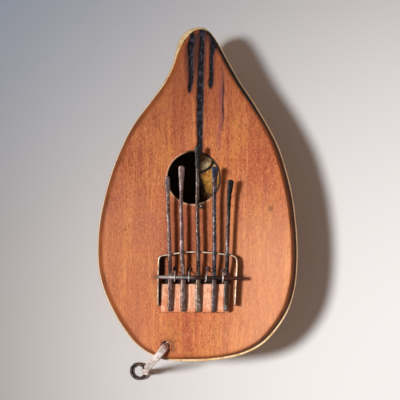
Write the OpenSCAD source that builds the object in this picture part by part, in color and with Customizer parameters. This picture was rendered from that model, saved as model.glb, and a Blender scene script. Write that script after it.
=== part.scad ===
// A gourd-backed thumb piano. Half a bottle gourd is closed by a flat soundboard with a round
// sound hole. Five forged iron tongues run over a strip bridge stood on its edge, under a tied
// pressure bar, and back to a wooden backrest. A rawhide thong with an iron ring hangs from
// the bottom of the board.
// Frame: it lies on its gourd back with the soundboard up (+Z) and the neck towards +Y. The
// origin is under the middle of the body, on the surface it lies on. Millimetres.

/* [Body] */
// Length of the body, from the neck's tip to the bottom of the bulb
body_l = 285.6; // [280:0.2:292]
// Width of the body across the bulb
body_w = 171.2; // [166:0.2:178]
// Height of the gourd's cut rim above the surface it lies on
shell_depth = 56; // [52:0.5:60]
// Thickness of the gourd's wall
wall = 4; // [3:0.25:5]
// How much the belly is worn down to its small flat
belly_wear = 0.8; // [0.5:0.1:1.4]

/* [Soundboard] */
// Thickness of the soundboard
board_t = 5; // [4.5:0.25:6]
// Width of the gourd's rim left showing round the board
rim_reveal = 1.5; // [1:0.1:1.9]
// Width of the board's rounded edge on the left side
bevel_left = 3.4; // [2.4:0.1:3.8]
// Width of the board's rounded edge on the right side
bevel_right = 4.2; // [3:0.1:4.8]
// Diameter of the sound hole
hole_d = 44; // [38:0.5:45]
// Diameter of the hole that the hanging thong goes through
thong_hole_d = 7.4; // [7.2:0.1:8]

/* [Bridge and bar] */
// Height of the bridge strip above the board
hoop_h = 8; // [7.5:0.1:9]
// Thickness of the bridge strip
hoop_t = 1.5; // [1.2:0.1:1.8]
// Diameter of the pressure bar
bar_d = 3.2; // [2.8:0.1:3.4]
// Diameter of the tie wire
wire_d = 1.2; // [0.9:0.1:1.3]
// Height of the backrest at its front edge
rest_front = 3.4; // [2.5:0.1:3.8]
// Height of the backrest at its back edge
rest_back = 5.4; // [4.5:0.1:5.5]

/* [Tongues] */
// Thickness of a tongue's shaft over the bridge
shaft_t = 2.2; // [1.8:0.1:2.3]
// Thickness of a tongue's flattened tail
tail_t = 2.0; // [1.6:0.1:2.1]
// Gap between a tongue and the bridge it would press on
tongue_gap = 0.25; // [0.2:0.05:0.4]

/* [Thong] */
// Width of the rawhide strip
strip_w = 6.4; // [5:0.2:6.6]
// Thickness of the rawhide strip
strip_t = 1.8; // [1.4:0.1:2]
// Outer diameter of the iron ring
ring_d = 16; // [15:0.5:17]
// Thickness of the iron ring's wire
ring_t = 2.8; // [2.4:0.1:3]

/* [Hidden] */

rim_z = shell_depth;
top_z = rim_z + board_t;
hoop_z = top_z + hoop_h;

// ---- the body's outline, from the neck's tip down the left side and up the right
RAW = [[2.1, 142.7], [-7.9, 139.8], [-15.1, 132.4], [-18.1, 122.4], [-21.7, 109.5], [-29.3, 94.7],
       [-41.4, 78], [-54.9, 59.9], [-64.9, 40.7], [-73, 20.5], [-79.2, -0.7], [-83.7, -21.8],
       [-85.4, -41.9], [-85, -60.9], [-80.9, -79.9], [-73.1, -98.3], [-63.5, -114.9], [-52.7, -128.3],
       [-39.7, -137.4], [-25.2, -141.9], [-5.9, -142.8], [16.2, -141.5], [37.4, -137.3], [54.7, -128.8],
       [68.2, -115], [78.1, -98.4], [83.4, -80], [85.4, -60.9], [85.5, -41.9], [84, -21.8],
       [81.1, -0.8], [76, 20.3], [69.3, 40.6], [59.8, 59.5], [48.8, 77.6], [37.4, 94.5],
       [28.7, 109.4], [21.6, 122.4], [15.7, 132.5], [9.5, 139.9]];

function cat(a, b, c, d, t) =
    0.5 * (2 * b + (c - a) * t + (2 * a - 5 * b + 4 * c - d) * t * t + (3 * b - a - 3 * c + d) * t * t * t);
function closed_curve(P, n) = let (L = len(P))
    [for (i = [0:L - 1], k = [0:n - 1]) cat(P[(i + L - 1) % L], P[i], P[(i + 1) % L], P[(i + 2) % L], k / n)];
function open_curve(P, n) = let (L = len(P))
    concat([for (i = [0:L - 2], k = [0:n - 1])
        cat(P[max(i - 1, 0)], P[i], P[i + 1], P[min(i + 2, L - 1)], k / n)], [P[L - 1]]);

CURVE = closed_curve(RAW, 2);
N = len(CURVE);
x_lo = min([for (p = CURVE) p[0]]);
x_hi = max([for (p = CURVE) p[0]]);
y_lo = min([for (p = CURVE) p[1]]);
y_hi = max([for (p = CURVE) p[1]]);
RIM = [for (p = CURVE) [(p[0] - (x_lo + x_hi) / 2) * body_w / (x_hi - x_lo),
                        (p[1] - (y_lo + y_hi) / 2) * body_l / (y_hi - y_lo)]];

// the outline moved inwards by d[i]
function unit(v) = v / norm(v);
function inward(Q, i) = let (t = unit(Q[(i + 1) % N] - Q[(i + N - 1) % N])) [-t[1], t[0]];
function inset(Q, d) = [for (i = [0:N - 1]) Q[i] + d[i] * inward(Q, i)];
function at_z(Q, z) = [for (p = Q) [p[0], p[1], z]];
function same(v) = [for (i = [0:N - 1]) v];

// ---- the gourd: depth of its belly along the body, from y = -60 in steps of 20
DEPTHS = [1, 1, 0.985, 0.9, 0.775, 0.64, 0.51, 0.41, 0.345, 0.305, 0.285, 0.28];
function depth_at(y) = let (u = max(0, min(9.999, (y + 60) / 20)), i = floor(u))
    cat(DEPTHS[max(i - 1, 0)], DEPTHS[i], DEPTHS[i + 1], DEPTHS[min(i + 2, 11)], u - i);
spine_lo = -50;
spine_hi = 118;
function spine(p) = let (y = max(spine_lo, min(spine_hi, p[1])))
    [3.4 * sin(90 * max(0, min(1, (y + 20) / 100))) - 1.4 * max(0, (y - 80) / 40), y];
function bowl_ring(Q, deep, a) =
    [for (i = [0:N - 1]) let (s = spine(RIM[i]), q = s + (Q[i] - s) * cos(a))
        [q[0], q[1], rim_z - (depth_at(s[1]) * (shell_depth + belly_wear) - deep) * sin(a)]];
OUT_A = [0, 7, 15, 24, 33, 42, 51, 60, 68, 75, 80, 84];
IN_A = [0, 10, 21, 32, 43, 54, 64, 73, 79, 84];

// ---- solids from rings. Every ring runs anticlockwise about the way the rings advance.
function flat(L) = [for (a = L, b = a) b];
function sides(m, n) = [for (r = [0:m - 2], i = [0:n - 1])
    [r * n + i, (r + 1) * n + i, (r + 1) * n + (i + 1) % n, r * n + (i + 1) % n]];
function halved(F) = [for (f = F, k = [0, 1]) k == 0 ? [f[0], f[1], f[2]] : [f[0], f[2], f[3]]];
// a cap drawn as rungs from the left side to the right, which suits an outline with a waist
function rungs(n, base) = concat(
    [[base, base + 1, base + n - 1]],
    [for (i = [1:n / 2 - 2]) [base + i, base + i + 1, base + n - i - 1, base + n - i]],
    [[base + n / 2 - 1, base + n / 2, base + n / 2 + 1]]);
function turned(F) = [for (f = F) [for (i = [len(f) - 1:-1:0]) f[i]]];
module laddered(rings) {
    m = len(rings);
    n = len(rings[0]);
    polyhedron(flat(rings), concat(rungs(n, 0), sides(m, n), turned(rungs(n, (m - 1) * n))));
}
module capped(rings) {
    m = len(rings);
    n = len(rings[0]);
    polyhedron(flat(rings), concat([[for (i = [0:n - 1]) i]], halved(sides(m, n)),
                                   [[for (i = [n - 1:-1:0]) (m - 1) * n + i]]));
}
module looped(rings) {
    m = len(rings);
    n = len(rings[0]);
    polyhedron(flat(rings), halved([for (r = [0:m - 1], i = [0:n - 1])
        [r * n + i, ((r + 1) % m) * n + i, ((r + 1) % m) * n + (i + 1) % n, r * n + (i + 1) % n]]));
}
// one ring of a swept strip or wire: w across, h thick, the width lying at the bearing phi
function swept_ring(before, here, after, phi, w, h, n) =
    let (t = unit(after - before), a = [cos(phi), sin(phi), 0], b = unit(a - (a * t) * t), c = cross(t, b))
    [for (j = [0:n - 1]) let (g = 360 * (j + 0.5) / n)
        here + b * (w / 2 * cos(g) / cos(180 / n)) + c * (h / 2 * sin(g) / cos(180 / n))];
// rings along the points P; first and last are the neighbours beyond the two ends
function swept(P, PHI, w, h, n, first, last) = let (L = len(P))
    [for (i = [0:L - 1]) swept_ring(i == 0 ? first : P[i - 1], P[i], i == L - 1 ? last : P[i + 1], PHI[i], w, h, n)];

module gourd_shell() color("burlywood")
    difference() {
        laddered(concat(
            [for (i = [len(OUT_A) - 1:-1:0]) bowl_ring(RIM, 0, OUT_A[i])],
            [for (a = IN_A) bowl_ring(inset(RIM, same(wall)), wall, a)]));
        translate([-100, -160, -10]) cube([200, 320, 10]);
    }

// ---- the soundboard
hole_at = [-3.4, 13.8];
thong_hole_at = [-27, -128.6];
tack_at = [3.4, hole_at[1] - hole_d / 2 - 1.9];
// the board sits further in at the upper left of the tip, and a little further in at the bottom
EDGE_0 = [for (p = RIM) rim_reveal + 0.35 * max(0, min(1, (-p[1] - 95) / 25))
                        + 3.1 * exp(-pow((p[0] + 14) / 13, 2) - pow((p[1] - 134) / 11, 2))];
BEVEL = [for (p = RIM) (bevel_left + (bevel_right - bevel_left) * (p[0] + 86) / 172)
                       * (1 - 0.34 * max(0, min(1, (-p[1] - 118) / 20)))
                       * (1 - 0.3 * max(0, min(1, (p[1] - 112) / 20)))];
function board_ring(k, z) = at_z(inset(RIM, [for (i = [0:N - 1]) EDGE_0[i] + k * BEVEL[i]]), z);

module soundboard() color("chocolate")
    difference() {
        laddered([board_ring(0, rim_z), board_ring(0.06, rim_z + board_t * 0.3),
                  board_ring(0.36, rim_z + board_t * 0.72), board_ring(1, top_z)]);
        translate([hole_at[0], hole_at[1], rim_z - 1]) cylinder(d = hole_d, h = board_t + 2, $fn = 96);
        translate([thong_hole_at[0], thong_hole_at[1], rim_z - 1])
            cylinder(d = thong_hole_d, h = board_t + 2, $fn = 48);
        for (t = TIES) {
            translate([t[0], t[1], rim_z - 1]) cylinder(d = wire_d + 0.5, h = board_t + 2, $fn = 24);
            translate([t[2], t[3], rim_z - 1]) cylinder(d = wire_d + 0.5, h = board_t + 2, $fn = 24);
        }
        translate([tack_at[0], tack_at[1], top_z - 4]) cylinder(d = 1.1, h = 5, $fn = 24);
        tangs(0.15);
    }

// ---- the bridge: a steel strip stood on its edge, bent into a squared hoop
HOOP = [[-33, -94.5], [-33, -84], [-32.9, -72], [-32.7, -60], [-32.4, -55.2], [-30.6, -52.3],
        [-24, -51.1], [-15, -49.6], [-6, -48.8], [7, -49.2], [16, -50], [24, -51],
        [30.4, -52.2], [33.1, -55], [33.6, -60], [33, -72], [32.3, -84], [31.8, -94.5]];
HOOP_PATH = open_curve(HOOP, 3);
function path_side(P, d) = [for (i = [0:len(P) - 1])
    let (t = unit(P[min(i + 1, len(P) - 1)] - P[max(i - 1, 0)])) P[i] + d * [-t[1], t[0]]];
function reversed(L) = [for (i = [len(L) - 1:-1:0]) L[i]];
tang_l = 4;
tang_depth = 3.6;
module tangs(c) {
    translate([-33 - hoop_t / 2 - c, -94.5 - c, top_z - tang_depth - c])
        cube([hoop_t + 2 * c, tang_l + 2 * c, tang_depth + c + 0.5]);
    translate([31.8, -94.5, top_z - tang_depth - c]) rotate([0, 0, -2.7])
        translate([-hoop_t / 2 - c, -c, 0]) cube([hoop_t + 2 * c, tang_l + 2 * c, tang_depth + c + 0.5]);
}
module bridge_hoop() color("dimgray") {
    translate([0, 0, top_z + 0.02]) linear_extrude(hoop_h - 0.02)
        polygon(concat(path_side(HOOP_PATH, hoop_t / 2), reversed(path_side(HOOP_PATH, -hoop_t / 2))));
    tangs(0);
}

// ---- the pressure bar: an iron rod with a tapered left end, tied down on the hoop's legs
bar_l = [-36.2, -69.7];
bar_r = [38.8, -70.9];
bar_z = hoop_z + 0.1 + bar_d / 2;
bar_yaw = atan2(bar_r[1] - bar_l[1], bar_r[0] - bar_l[0]);
bar_len = norm(bar_r - bar_l);
function bar_y(x) = bar_l[1] + (x - bar_l[0]) * tan(bar_yaw);
module pressure_bar() color("darkslategray")
    translate([bar_l[0], bar_l[1], bar_z]) rotate([0, 0, bar_yaw]) rotate([0, 90, 0])
        rotate_extrude($fn = 32) polygon([[0, 0], [0.5, 0], [0.9, 0.5], [1.2, 2], [bar_d / 2, 6],
            [bar_d / 2, bar_len - 0.8], [bar_d / 2 - 0.5, bar_len - 0.1], [bar_d / 2 - 0.9, bar_len],
            [0, bar_len]]);

// ---- the tie wires: [x, y of the lower hole, x, y of the upper hole]
TIES = [[-19.3, -74.6, -18.8, -63.8], [-7.4, -74.6, -6.9, -64], [6.4, -74.8, 8.6, -64.2], [21.5, -75, 22, -64.4]];
function wire_ring(before, here, after) = swept_ring(before, here, after, 0, wire_d, wire_d, 8);
module tie(i) {
    a = [TIES[i][0], TIES[i][1]];
    b = [TIES[i][2], TIES[i][3]];
    x = (a[0] + b[0]) / 2;
    y = bar_y(x);
    r = bar_d / 2 + wire_d / 2 + 0.08;
    under = rim_z - wire_d / 2 - 0.3;
    P = concat([[a[0], a[1], under + 0.9], [a[0], a[1], top_z + 0.4], [(2 * a[0] + x) / 3, (a[1] + 2 * (y - r)) / 3 - 0.1, bar_z - 2.6]],
        [for (g = [190:-33:-10]) [x, y + r * cos(g), bar_z + r * sin(g)]],
        [[(2 * b[0] + x) / 3, (b[1] + 2 * (y + r)) / 3 + 0.1, bar_z - 2.6], [b[0], b[1], top_z + 0.4], [b[0], b[1], under + 0.9],
         [b[0] + 0.1 * (a[0] - b[0]), b[1] - 0.9, under], [a[0] + 0.1 * (b[0] - a[0]), a[1] + 0.9, under]]);
    L = len(P);
    color("silver") looped([for (k = [0:L - 1]) wire_ring(P[(k + L - 1) % L], P[k], P[(k + 1) % L])]);
}
module tie_wire_1() tie(0);
module tie_wire_2() tie(1);
module tie_wire_3() tie(2);
module tie_wire_4() tie(3);

// ---- the backrest: a raw wooden wedge that the tongues' tails bear on
REST = [[-30.9, -76.2], [-30.9, -99.8], [26.7, -99.8], [28.6, -76.2]];
module backrest() color("sandybrown")
    difference() {
        translate([0, 0, top_z]) linear_extrude(rest_back + 2) polygon(REST);
        translate([0, REST[0][1], top_z + rest_front]) rotate([-atan((rest_back - rest_front) / 23.6), 0, 0])
            translate([-60, -60, 0]) cube([120, 80, 20]);
    }

// ---- the tongues: [[x at tail end, at the bar, at the bridge, at y = -5, at the tip],
//                   y of the tail end, y of the tip, width of the tip, width of the tail, rise of the tip]
TONGUES = [[[-23, -22.8, -23.3, -24.8, -25.3], -99, 15, 4.6, 4.5, 12.3],
           [[-11.9, -12, -12.9, -13.6, -13.1], -99.2, 23.8, 5.3, 5.1, 12.6],
           [[0.6, 0.9, 0.9, -0.2, 0.3], -99.6, 40.2, 4.9, 5.2, 13],
           [[13.6, 14.3, 14.5, 14.2, 14.8], -100, 23.2, 5.3, 4.3, 12.6],
           [[23.8, 24.8, 25.1, 26.6, 28.1], -99, 12.1, 5.3, 4.1, 12.4]];
PIVOT_Y = [-51, -49.4, -49, -49.9, -51.2];
pivot_z = hoop_z + tongue_gap + shaft_t / 2;
tail_z = top_z + rest_back + 0.35 + tail_t / 2;
function tongue_x(i, y) = lookup(y, [[TONGUES[i][1], TONGUES[i][0][0]], [-70, TONGUES[i][0][1]],
    [PIVOT_Y[i], TONGUES[i][0][2]], [-5, TONGUES[i][0][3]], [TONGUES[i][2], TONGUES[i][0][4]]]);
// a flattened octagon across the tongue: w wide, h thick
function tongue_ring(i, y, z, w, h) = [for (q = [[-1, 0.45], [-0.72, 1], [0.72, 1], [1, 0.45], [1, -0.45], [0.72, -1], [-0.72, -1], [-1, -0.45]])
    [tongue_x(i, y) + q[0] * w / 2, y, z + q[1] * h / 2]];

module tongue_tail(i) {
    e = TONGUES[i][1];
    w = TONGUES[i][4];
    p = PIVOT_Y[i];
    color("dimgray") capped([
        tongue_ring(i, e, tail_z, w * 0.72, tail_t * 0.6),
        tongue_ring(i, e + 0.8, tail_z, w * 0.94, tail_t),
        tongue_ring(i, e + 4, tail_z, w, tail_t),
        tongue_ring(i, -86, tail_z, w * 0.95, tail_t),
        tongue_ring(i, -77, tail_z, w * 0.5 + 1.9, tail_t),
        tongue_ring(i, -71, tail_z, 3.8, tail_t),
        tongue_ring(i, -67.6, tail_z + 0.08, 3.7, tail_t),
        tongue_ring(i, -64, tail_z + (pivot_z - tail_z) * 0.3, 3.6, shaft_t),
        tongue_ring(i, p - 7.5, tail_z + (pivot_z - tail_z) * 0.82, 3.6, shaft_t),
        tongue_ring(i, p - 4.2, pivot_z, 3.6, shaft_t),
        tongue_ring(i, p - shaft_t / 2 - 0.2, pivot_z, 3.6, shaft_t)]);
}
module tongue_blade(i) {
    t = TONGUES[i][2];
    w = TONGUES[i][3];
    p = PIVOT_Y[i];
    z = top_z + TONGUES[i][5];
    m = pivot_z + 0.35 * (z - pivot_z);
    color("dimgray") capped([
        tongue_ring(i, p - shaft_t * 0.48, pivot_z, 3.4, shaft_t * 0.28),
        tongue_ring(i, p - shaft_t * 0.35, pivot_z, 3.6, shaft_t * 0.7),
        tongue_ring(i, p, pivot_z, 3.6, shaft_t),
        tongue_ring(i, p + 8, pivot_z + 0.1, 3.5, shaft_t + 0.1),
        tongue_ring(i, (p + t) / 2 - 8, pivot_z + 0.3, 3.3, shaft_t + 0.1),
        tongue_ring(i, t - 30, pivot_z + 0.6, 3.1, shaft_t),
        tongue_ring(i, t - 20, m, 3.2, shaft_t - 0.1),
        tongue_ring(i, t - 12, m + (z - m) * 0.35, 3.2 + (w - 3.2) * 0.45, shaft_t - 0.4),
        tongue_ring(i, t - 6, m + (z - m) * 0.7, 3.2 + (w - 3.2) * 0.9, shaft_t - 0.8),
        tongue_ring(i, t - 2, m + (z - m) * 0.92, w, shaft_t - 0.9),
        tongue_ring(i, t - 0.6, z - 0.06, w * 0.85, shaft_t - 1),
        tongue_ring(i, t, z, w * 0.5, shaft_t * 0.35)]);
}
module tongue_1_tail() tongue_tail(0);
module tongue_2_tail() tongue_tail(1);
module tongue_3_tail() tongue_tail(2);
module tongue_4_tail() tongue_tail(3);
module tongue_5_tail() tongue_tail(4);
module tongue_1_blade() tongue_blade(0);
module tongue_2_blade() tongue_blade(1);
module tongue_3_blade() tongue_blade(2);
module tongue_4_blade() tongue_blade(3);
module tongue_5_blade() tongue_blade(4);

// ---- a round-headed tack at the edge of the sound hole
module hole_tack() color("silver")
    translate([tack_at[0], tack_at[1], top_z]) rotate_extrude($fn = 32)
        polygon([[0, -3.8], [0.15, -3.7], [0.5, -2.8], [0.5, 0.02], [1.3, 0.02], [1.28, 0.3], [1.05, 0.7],
                 [0.6, 0.98], [0, 1.05]]);

// ---- the thong: a rawhide strip, knotted under the board, through the board's hole, over the
// rim and down to the surface the body lies on, where it is folded round an iron ring.
// [x, y, z, bearing of its width]
THONG = [[-27, -128.5, 55.8, -40], [-27, -128.6, 58.5, -40], [-27, -128.8, 61.2, -40], [-27.6, -129.6, 63.8, -40],
         [-28.9, -131.2, 66, -40], [-30.8, -133.6, 67.3, -40], [-33, -136.5, 67.3, -40], [-35.2, -139.2, 65.9, -40],
         [-37.1, -141.5, 63.1, -40], [-38.8, -143.7, 59.2, -40], [-40.4, -146, 54, -40], [-41.9, -148.2, 47.5, -41],
         [-43.2, -150.3, 40.5, -43], [-44.2, -152.3, 33, -46], [-44.8, -154.2, 26, -50], [-45, -156, 19.5, -56],
         [-44.8, -157.4, 14, -64]];
LOOP = [[-44.8, -157.4, 14, -64], [-44.5, -158.1, 11.4, -72], [-44.8, -158.5, 9.4, -82], [-46.1, -158.7, 8.5, -88],
        [-47.8, -158.7, 8.2, -88], [-49.2, -158.8, 7, -88], [-49.7, -158.8, 5.3, -88], [-49.1, -158.9, 3.8, -88],
        [-47.6, -159.1, 2.9, -88], [-45.4, -159.5, 2.3, -86], [-42.9, -160.2, 1.8, -83], [-40.6, -161, 1.5, -80]];
// points above the lower end of the drop keep their height under the board's top face
function raised(z) = z + (top_z - 61) * max(0, min(1, (z - 14) / 40));
function route(L) = [for (p = L) [p[0], p[1], raised(p[2])]];
function bearings(L) = [for (p = L) p[3]];
module thong() color("antiquewhite")
    capped(swept(route(THONG), bearings(THONG), strip_w, strip_t, 8, route(THONG)[0] - [0, 0, 1], route(LOOP)[1]));
module thong_loop() color("antiquewhite")
    capped(swept(route(LOOP), bearings(LOOP), strip_w * 0.86, strip_t, 8,
                 route(THONG)[len(THONG) - 2], route(LOOP)[len(LOOP) - 1] + [2, -0.6, 0]));
module thong_knot() color("antiquewhite")
    translate([thong_hole_at[0], thong_hole_at[1], rim_z - 0.25]) rotate_extrude($fn = 32)
        polygon([[0, 0], [3.6, 0], [5, -1], [5.4, -2.6], [5, -4.2], [3.6, -5.6], [1.8, -6.2], [0, -6.3]]);

// ---- the ring lies on the surface, tipped up where the strip goes under it
ring_at = [-53, -158.8];
ring_tilt = 20;
ring_r = (ring_d - ring_t) / 2;
module thong_ring() color("darkslategray")
    translate([ring_at[0], ring_at[1], ring_t / 2 + ring_r * sin(ring_tilt)])
        rotate([0, 0, 2]) rotate([0, -ring_tilt, 0])
            rotate_extrude($fn = 48) translate([ring_r, 0]) circle(d = ring_t, $fn = 24);

gourd_shell();
soundboard();
backrest();
bridge_hoop();
pressure_bar();
tie_wire_1();
tie_wire_2();
tie_wire_3();
tie_wire_4();
tongue_1_tail();
tongue_1_blade();
tongue_2_tail();
tongue_2_blade();
tongue_3_tail();
tongue_3_blade();
tongue_4_tail();
tongue_4_blade();
tongue_5_tail();
tongue_5_blade();
hole_tack();
thong_knot();
thong();
thong_loop();
thong_ring();
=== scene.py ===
import math

import bpy
import bmesh
import numpy as np
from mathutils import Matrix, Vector


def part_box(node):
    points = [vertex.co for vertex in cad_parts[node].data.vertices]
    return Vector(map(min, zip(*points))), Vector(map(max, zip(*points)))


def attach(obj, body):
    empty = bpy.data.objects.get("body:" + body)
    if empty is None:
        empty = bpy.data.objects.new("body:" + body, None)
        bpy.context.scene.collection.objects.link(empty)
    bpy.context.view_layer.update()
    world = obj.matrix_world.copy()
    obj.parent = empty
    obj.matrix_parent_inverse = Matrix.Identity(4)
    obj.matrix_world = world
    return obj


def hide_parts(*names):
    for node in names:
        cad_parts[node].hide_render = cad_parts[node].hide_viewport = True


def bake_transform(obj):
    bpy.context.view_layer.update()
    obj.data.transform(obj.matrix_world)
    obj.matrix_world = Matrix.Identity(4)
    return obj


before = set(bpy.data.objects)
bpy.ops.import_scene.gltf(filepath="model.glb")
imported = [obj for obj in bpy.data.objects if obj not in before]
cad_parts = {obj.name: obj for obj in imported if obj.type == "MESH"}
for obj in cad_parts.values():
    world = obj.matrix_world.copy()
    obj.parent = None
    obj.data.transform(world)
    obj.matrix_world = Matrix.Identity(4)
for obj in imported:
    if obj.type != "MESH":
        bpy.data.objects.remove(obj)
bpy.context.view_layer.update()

MM = 0.001
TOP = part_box("soundboard")[1].z / MM          # the board's top face, in mm
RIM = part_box("soundboard")[0].z / MM          # the gourd's cut rim
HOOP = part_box("bridge_hoop")[1].z / MM        # the top edge of the bridge

# ============================================================ camera, first
scene = bpy.context.scene
cam_data = bpy.data.cameras.new("camera")
cam = bpy.data.objects.new("camera", cam_data)
scene.collection.objects.link(cam)
cam.location = (0.0023, -0.0049, TOP * MM + 1.0)
cam.rotation_euler = (0, 0, 0)
cam_data.sensor_width = 36
cam_data.lens = 36 / 0.340
cam_data.clip_start, cam_data.clip_end = 0.01, 20
scene.camera = cam


# ============================================================ numbers
def hashed(ix, iy, iz, seed):
    h = (ix * 374761393 + iy * 668265263 + iz * 1442695041 + seed * 1274126177) & 0xFFFFFFFF
    h = ((h ^ (h >> 13)) * 1274126177) & 0xFFFFFFFF
    h = ((h ^ (h >> 15)) * 2246822519) & 0xFFFFFFFF
    return ((h ^ (h >> 16)) & 0xFFFFFF) / float(0xFFFFFF) * 2 - 1


def noise3(p, size, seed=0):
    """Smooth noise from -1 to 1 at points p (n, 3), with features about size wide (one number or three)."""
    q = np.asarray(p, float) / np.asarray(size, float)
    i = np.floor(q).astype(np.int64)
    f = q - i
    u = f * f * f * (f * (f * 6 - 15) + 10)
    out = 0.0
    for dx in (0, 1):
        for dy in (0, 1):
            for dz in (0, 1):
                w = (u[:, 0] if dx else 1 - u[:, 0]) * (u[:, 1] if dy else 1 - u[:, 1]) * (u[:, 2] if dz else 1 - u[:, 2])
                out = out + w * hashed(i[:, 0] + dx, i[:, 1] + dy, i[:, 2] + dz, seed)
    return out


def fbm(p, size, octaves=3, seed=0):
    size = np.asarray(size, float)
    out, amp, total = 0.0, 1.0, 0.0
    for k in range(octaves):
        out = out + amp * noise3(p, size / 2 ** k, seed + 17 * k)
        total += amp
        amp *= 0.5
    return out / total


def line_noise(t, size, seed):
    t = np.asarray(t, float)
    return noise3(np.stack([t, np.zeros_like(t), np.zeros_like(t)], 1), size, seed)


def smooth(a, b, x):
    t = np.clip((x - a) / (b - a), 0, 1)
    return t * t * (3 - 2 * t)


def catmull(P, n, closed=False):
    """n steps to each span of the points P, through every point."""
    P = np.asarray(P, float)
    L = len(P)
    t = np.arange(n)[:, None] / n
    out = []
    for i in range(L if closed else L - 1):
        a, b, c, d = (P[(i + k) % L] if closed else P[min(max(i + k, 0), L - 1)] for k in (-1, 0, 1, 2))
        out.append(0.5 * (2 * b + (c - a) * t + (2 * a - 5 * b + 4 * c - d) * t ** 2 + (3 * b - a - 3 * c + d) * t ** 3))
    if not closed:
        out.append(P[-1:])
    return np.concatenate(out)


def by_length(P, n, closed=False):
    """The line P at n even steps of its length."""
    Q = np.concatenate([P, P[:1]]) if closed else P
    s = np.concatenate([[0], np.cumsum(np.linalg.norm(np.diff(Q, axis=0), axis=1))])
    want = np.linspace(0, s[-1], n + 1)[:-1] if closed else np.linspace(0, s[-1], n)
    return np.stack([np.interp(want, s, Q[:, k]) for k in range(Q.shape[1])], 1)


def unit(v):
    return v / np.maximum(np.linalg.norm(v, axis=-1, keepdims=True), 1e-12)


def segment_distance(x, y, A):
    """Distance of the points x, y to the open line A (n, 2), and how far along it, 0 to 1."""
    best, along = np.full(len(x), 1e9), np.zeros(len(x))
    for i in range(len(A) - 1):
        a, d = A[i], A[i + 1] - A[i]
        t = np.clip(((x - a[0]) * d[0] + (y - a[1]) * d[1]) / max(d @ d, 1e-9), 0, 1)
        r = np.hypot(x - a[0] - t * d[0], y - a[1] - t * d[1])
        near = r < best
        best = np.where(near, r, best)
        along = np.where(near, (i + t) / (len(A) - 1), along)
    return best, along


# ============================================================ meshes
def grid(m, n, closed_rows=False, closed_cols=True):
    r, c = np.meshgrid(np.arange(m if closed_rows else m - 1), np.arange(n if closed_cols else n - 1), indexing="ij")
    r, c = r.ravel(), c.ravel()
    r1, c1 = (r + 1) % m, (c + 1) % n
    return np.stack([r * n + c, r * n + c1, r1 * n + c1, r1 * n + c], 1)


def make(name, verts, faces, attrs=None, sharp=None):
    """A mesh object from points in mm. attrs is {name: a number for each point}."""
    mesh = bpy.data.meshes.new(name)
    mesh.from_pydata((np.asarray(verts, float) * MM).tolist(), [], [list(map(int, f)) for f in faces])
    bm = bmesh.new()
    bm.from_mesh(mesh)
    bmesh.ops.recalc_face_normals(bm, faces=bm.faces)
    bm.to_mesh(mesh)
    bm.free()
    mesh.polygons.foreach_set("use_smooth", [True] * len(mesh.polygons))
    for key, values in (attrs or {}).items():
        a = mesh.attributes.new(key, "FLOAT", "POINT")
        a.data.foreach_set("value", np.asarray(values, np.float32))
    obj = bpy.data.objects.new(name, mesh)
    scene.collection.objects.link(obj)
    if sharp:
        mesh.set_sharp_from_angle(angle=math.radians(sharp))
    mesh.update()
    return obj


def applied(obj):
    """Applies obj's modifiers to its mesh."""
    dg = bpy.context.evaluated_depsgraph_get()
    dg.update()
    new = bpy.data.meshes.new_from_object(obj.evaluated_get(dg), preserve_all_data_layers=True, depsgraph=dg)
    old = obj.data
    obj.modifiers.clear()
    obj.data = new
    bpy.data.meshes.remove(old)
    return obj


def cut(obj, cutters, solver="EXACT"):
    """Takes the cutter objects away from obj, and removes them."""
    for c in cutters:
        mod = obj.modifiers.new("cut", "BOOLEAN")
        mod.operation, mod.object, mod.solver = "DIFFERENCE", c, solver
    applied(obj)
    for c in cutters:
        bpy.data.objects.remove(c)
    return obj


def strand(name, P, side, profile, attrs=None, cap=True, closed=False, sharp=None):
    """A mesh swept along the points P (n, 3). side is each ring's width direction, profile (n, k, 2) its outline,
    as distances along the width and along the thickness."""
    P, side, profile = np.asarray(P, float), np.asarray(side, float), np.asarray(profile, float)
    n, k = profile.shape[:2]
    if closed:
        t = unit(np.roll(P, -1, 0) - np.roll(P, 1, 0))
    else:
        t = unit(np.gradient(P, axis=0))
    b = unit(side - (side * t).sum(1, keepdims=True) * t)
    c = np.cross(t, b)
    V = P[:, None] + b[:, None] * profile[..., :1] + c[:, None] * profile[..., 1:]
    faces = grid(n, k, closed_rows=closed).tolist()
    verts = V.reshape(-1, 3)
    extra = 0
    if cap and not closed:
        verts = np.concatenate([verts, V[0].mean(0)[None], V[-1].mean(0)[None]])
        extra = 2
        for j in range(k):
            faces.append([(j + 1) % k, j, n * k])
            faces.append([(n - 1) * k + j, (n - 1) * k + (j + 1) % k, n * k + 1])
    made = {key: np.concatenate([np.asarray(v, float).ravel(), np.full(extra, np.asarray(v, float).ravel()[-1])]) if extra else np.asarray(v, float).ravel()
            for key, v in (attrs or {}).items()}
    return make(name, verts, faces, made, sharp)


def rounded(k, power=2.0):
    """k points round a superellipse one half wide and one half high."""
    g = (np.arange(k) + 0.5) * 2 * math.pi / k
    c, s = np.cos(g), np.sin(g)
    return np.stack([np.sign(c) * np.abs(c) ** (2 / power), np.sign(s) * np.abs(s) ** (2 / power)], 1) * 0.5


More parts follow.
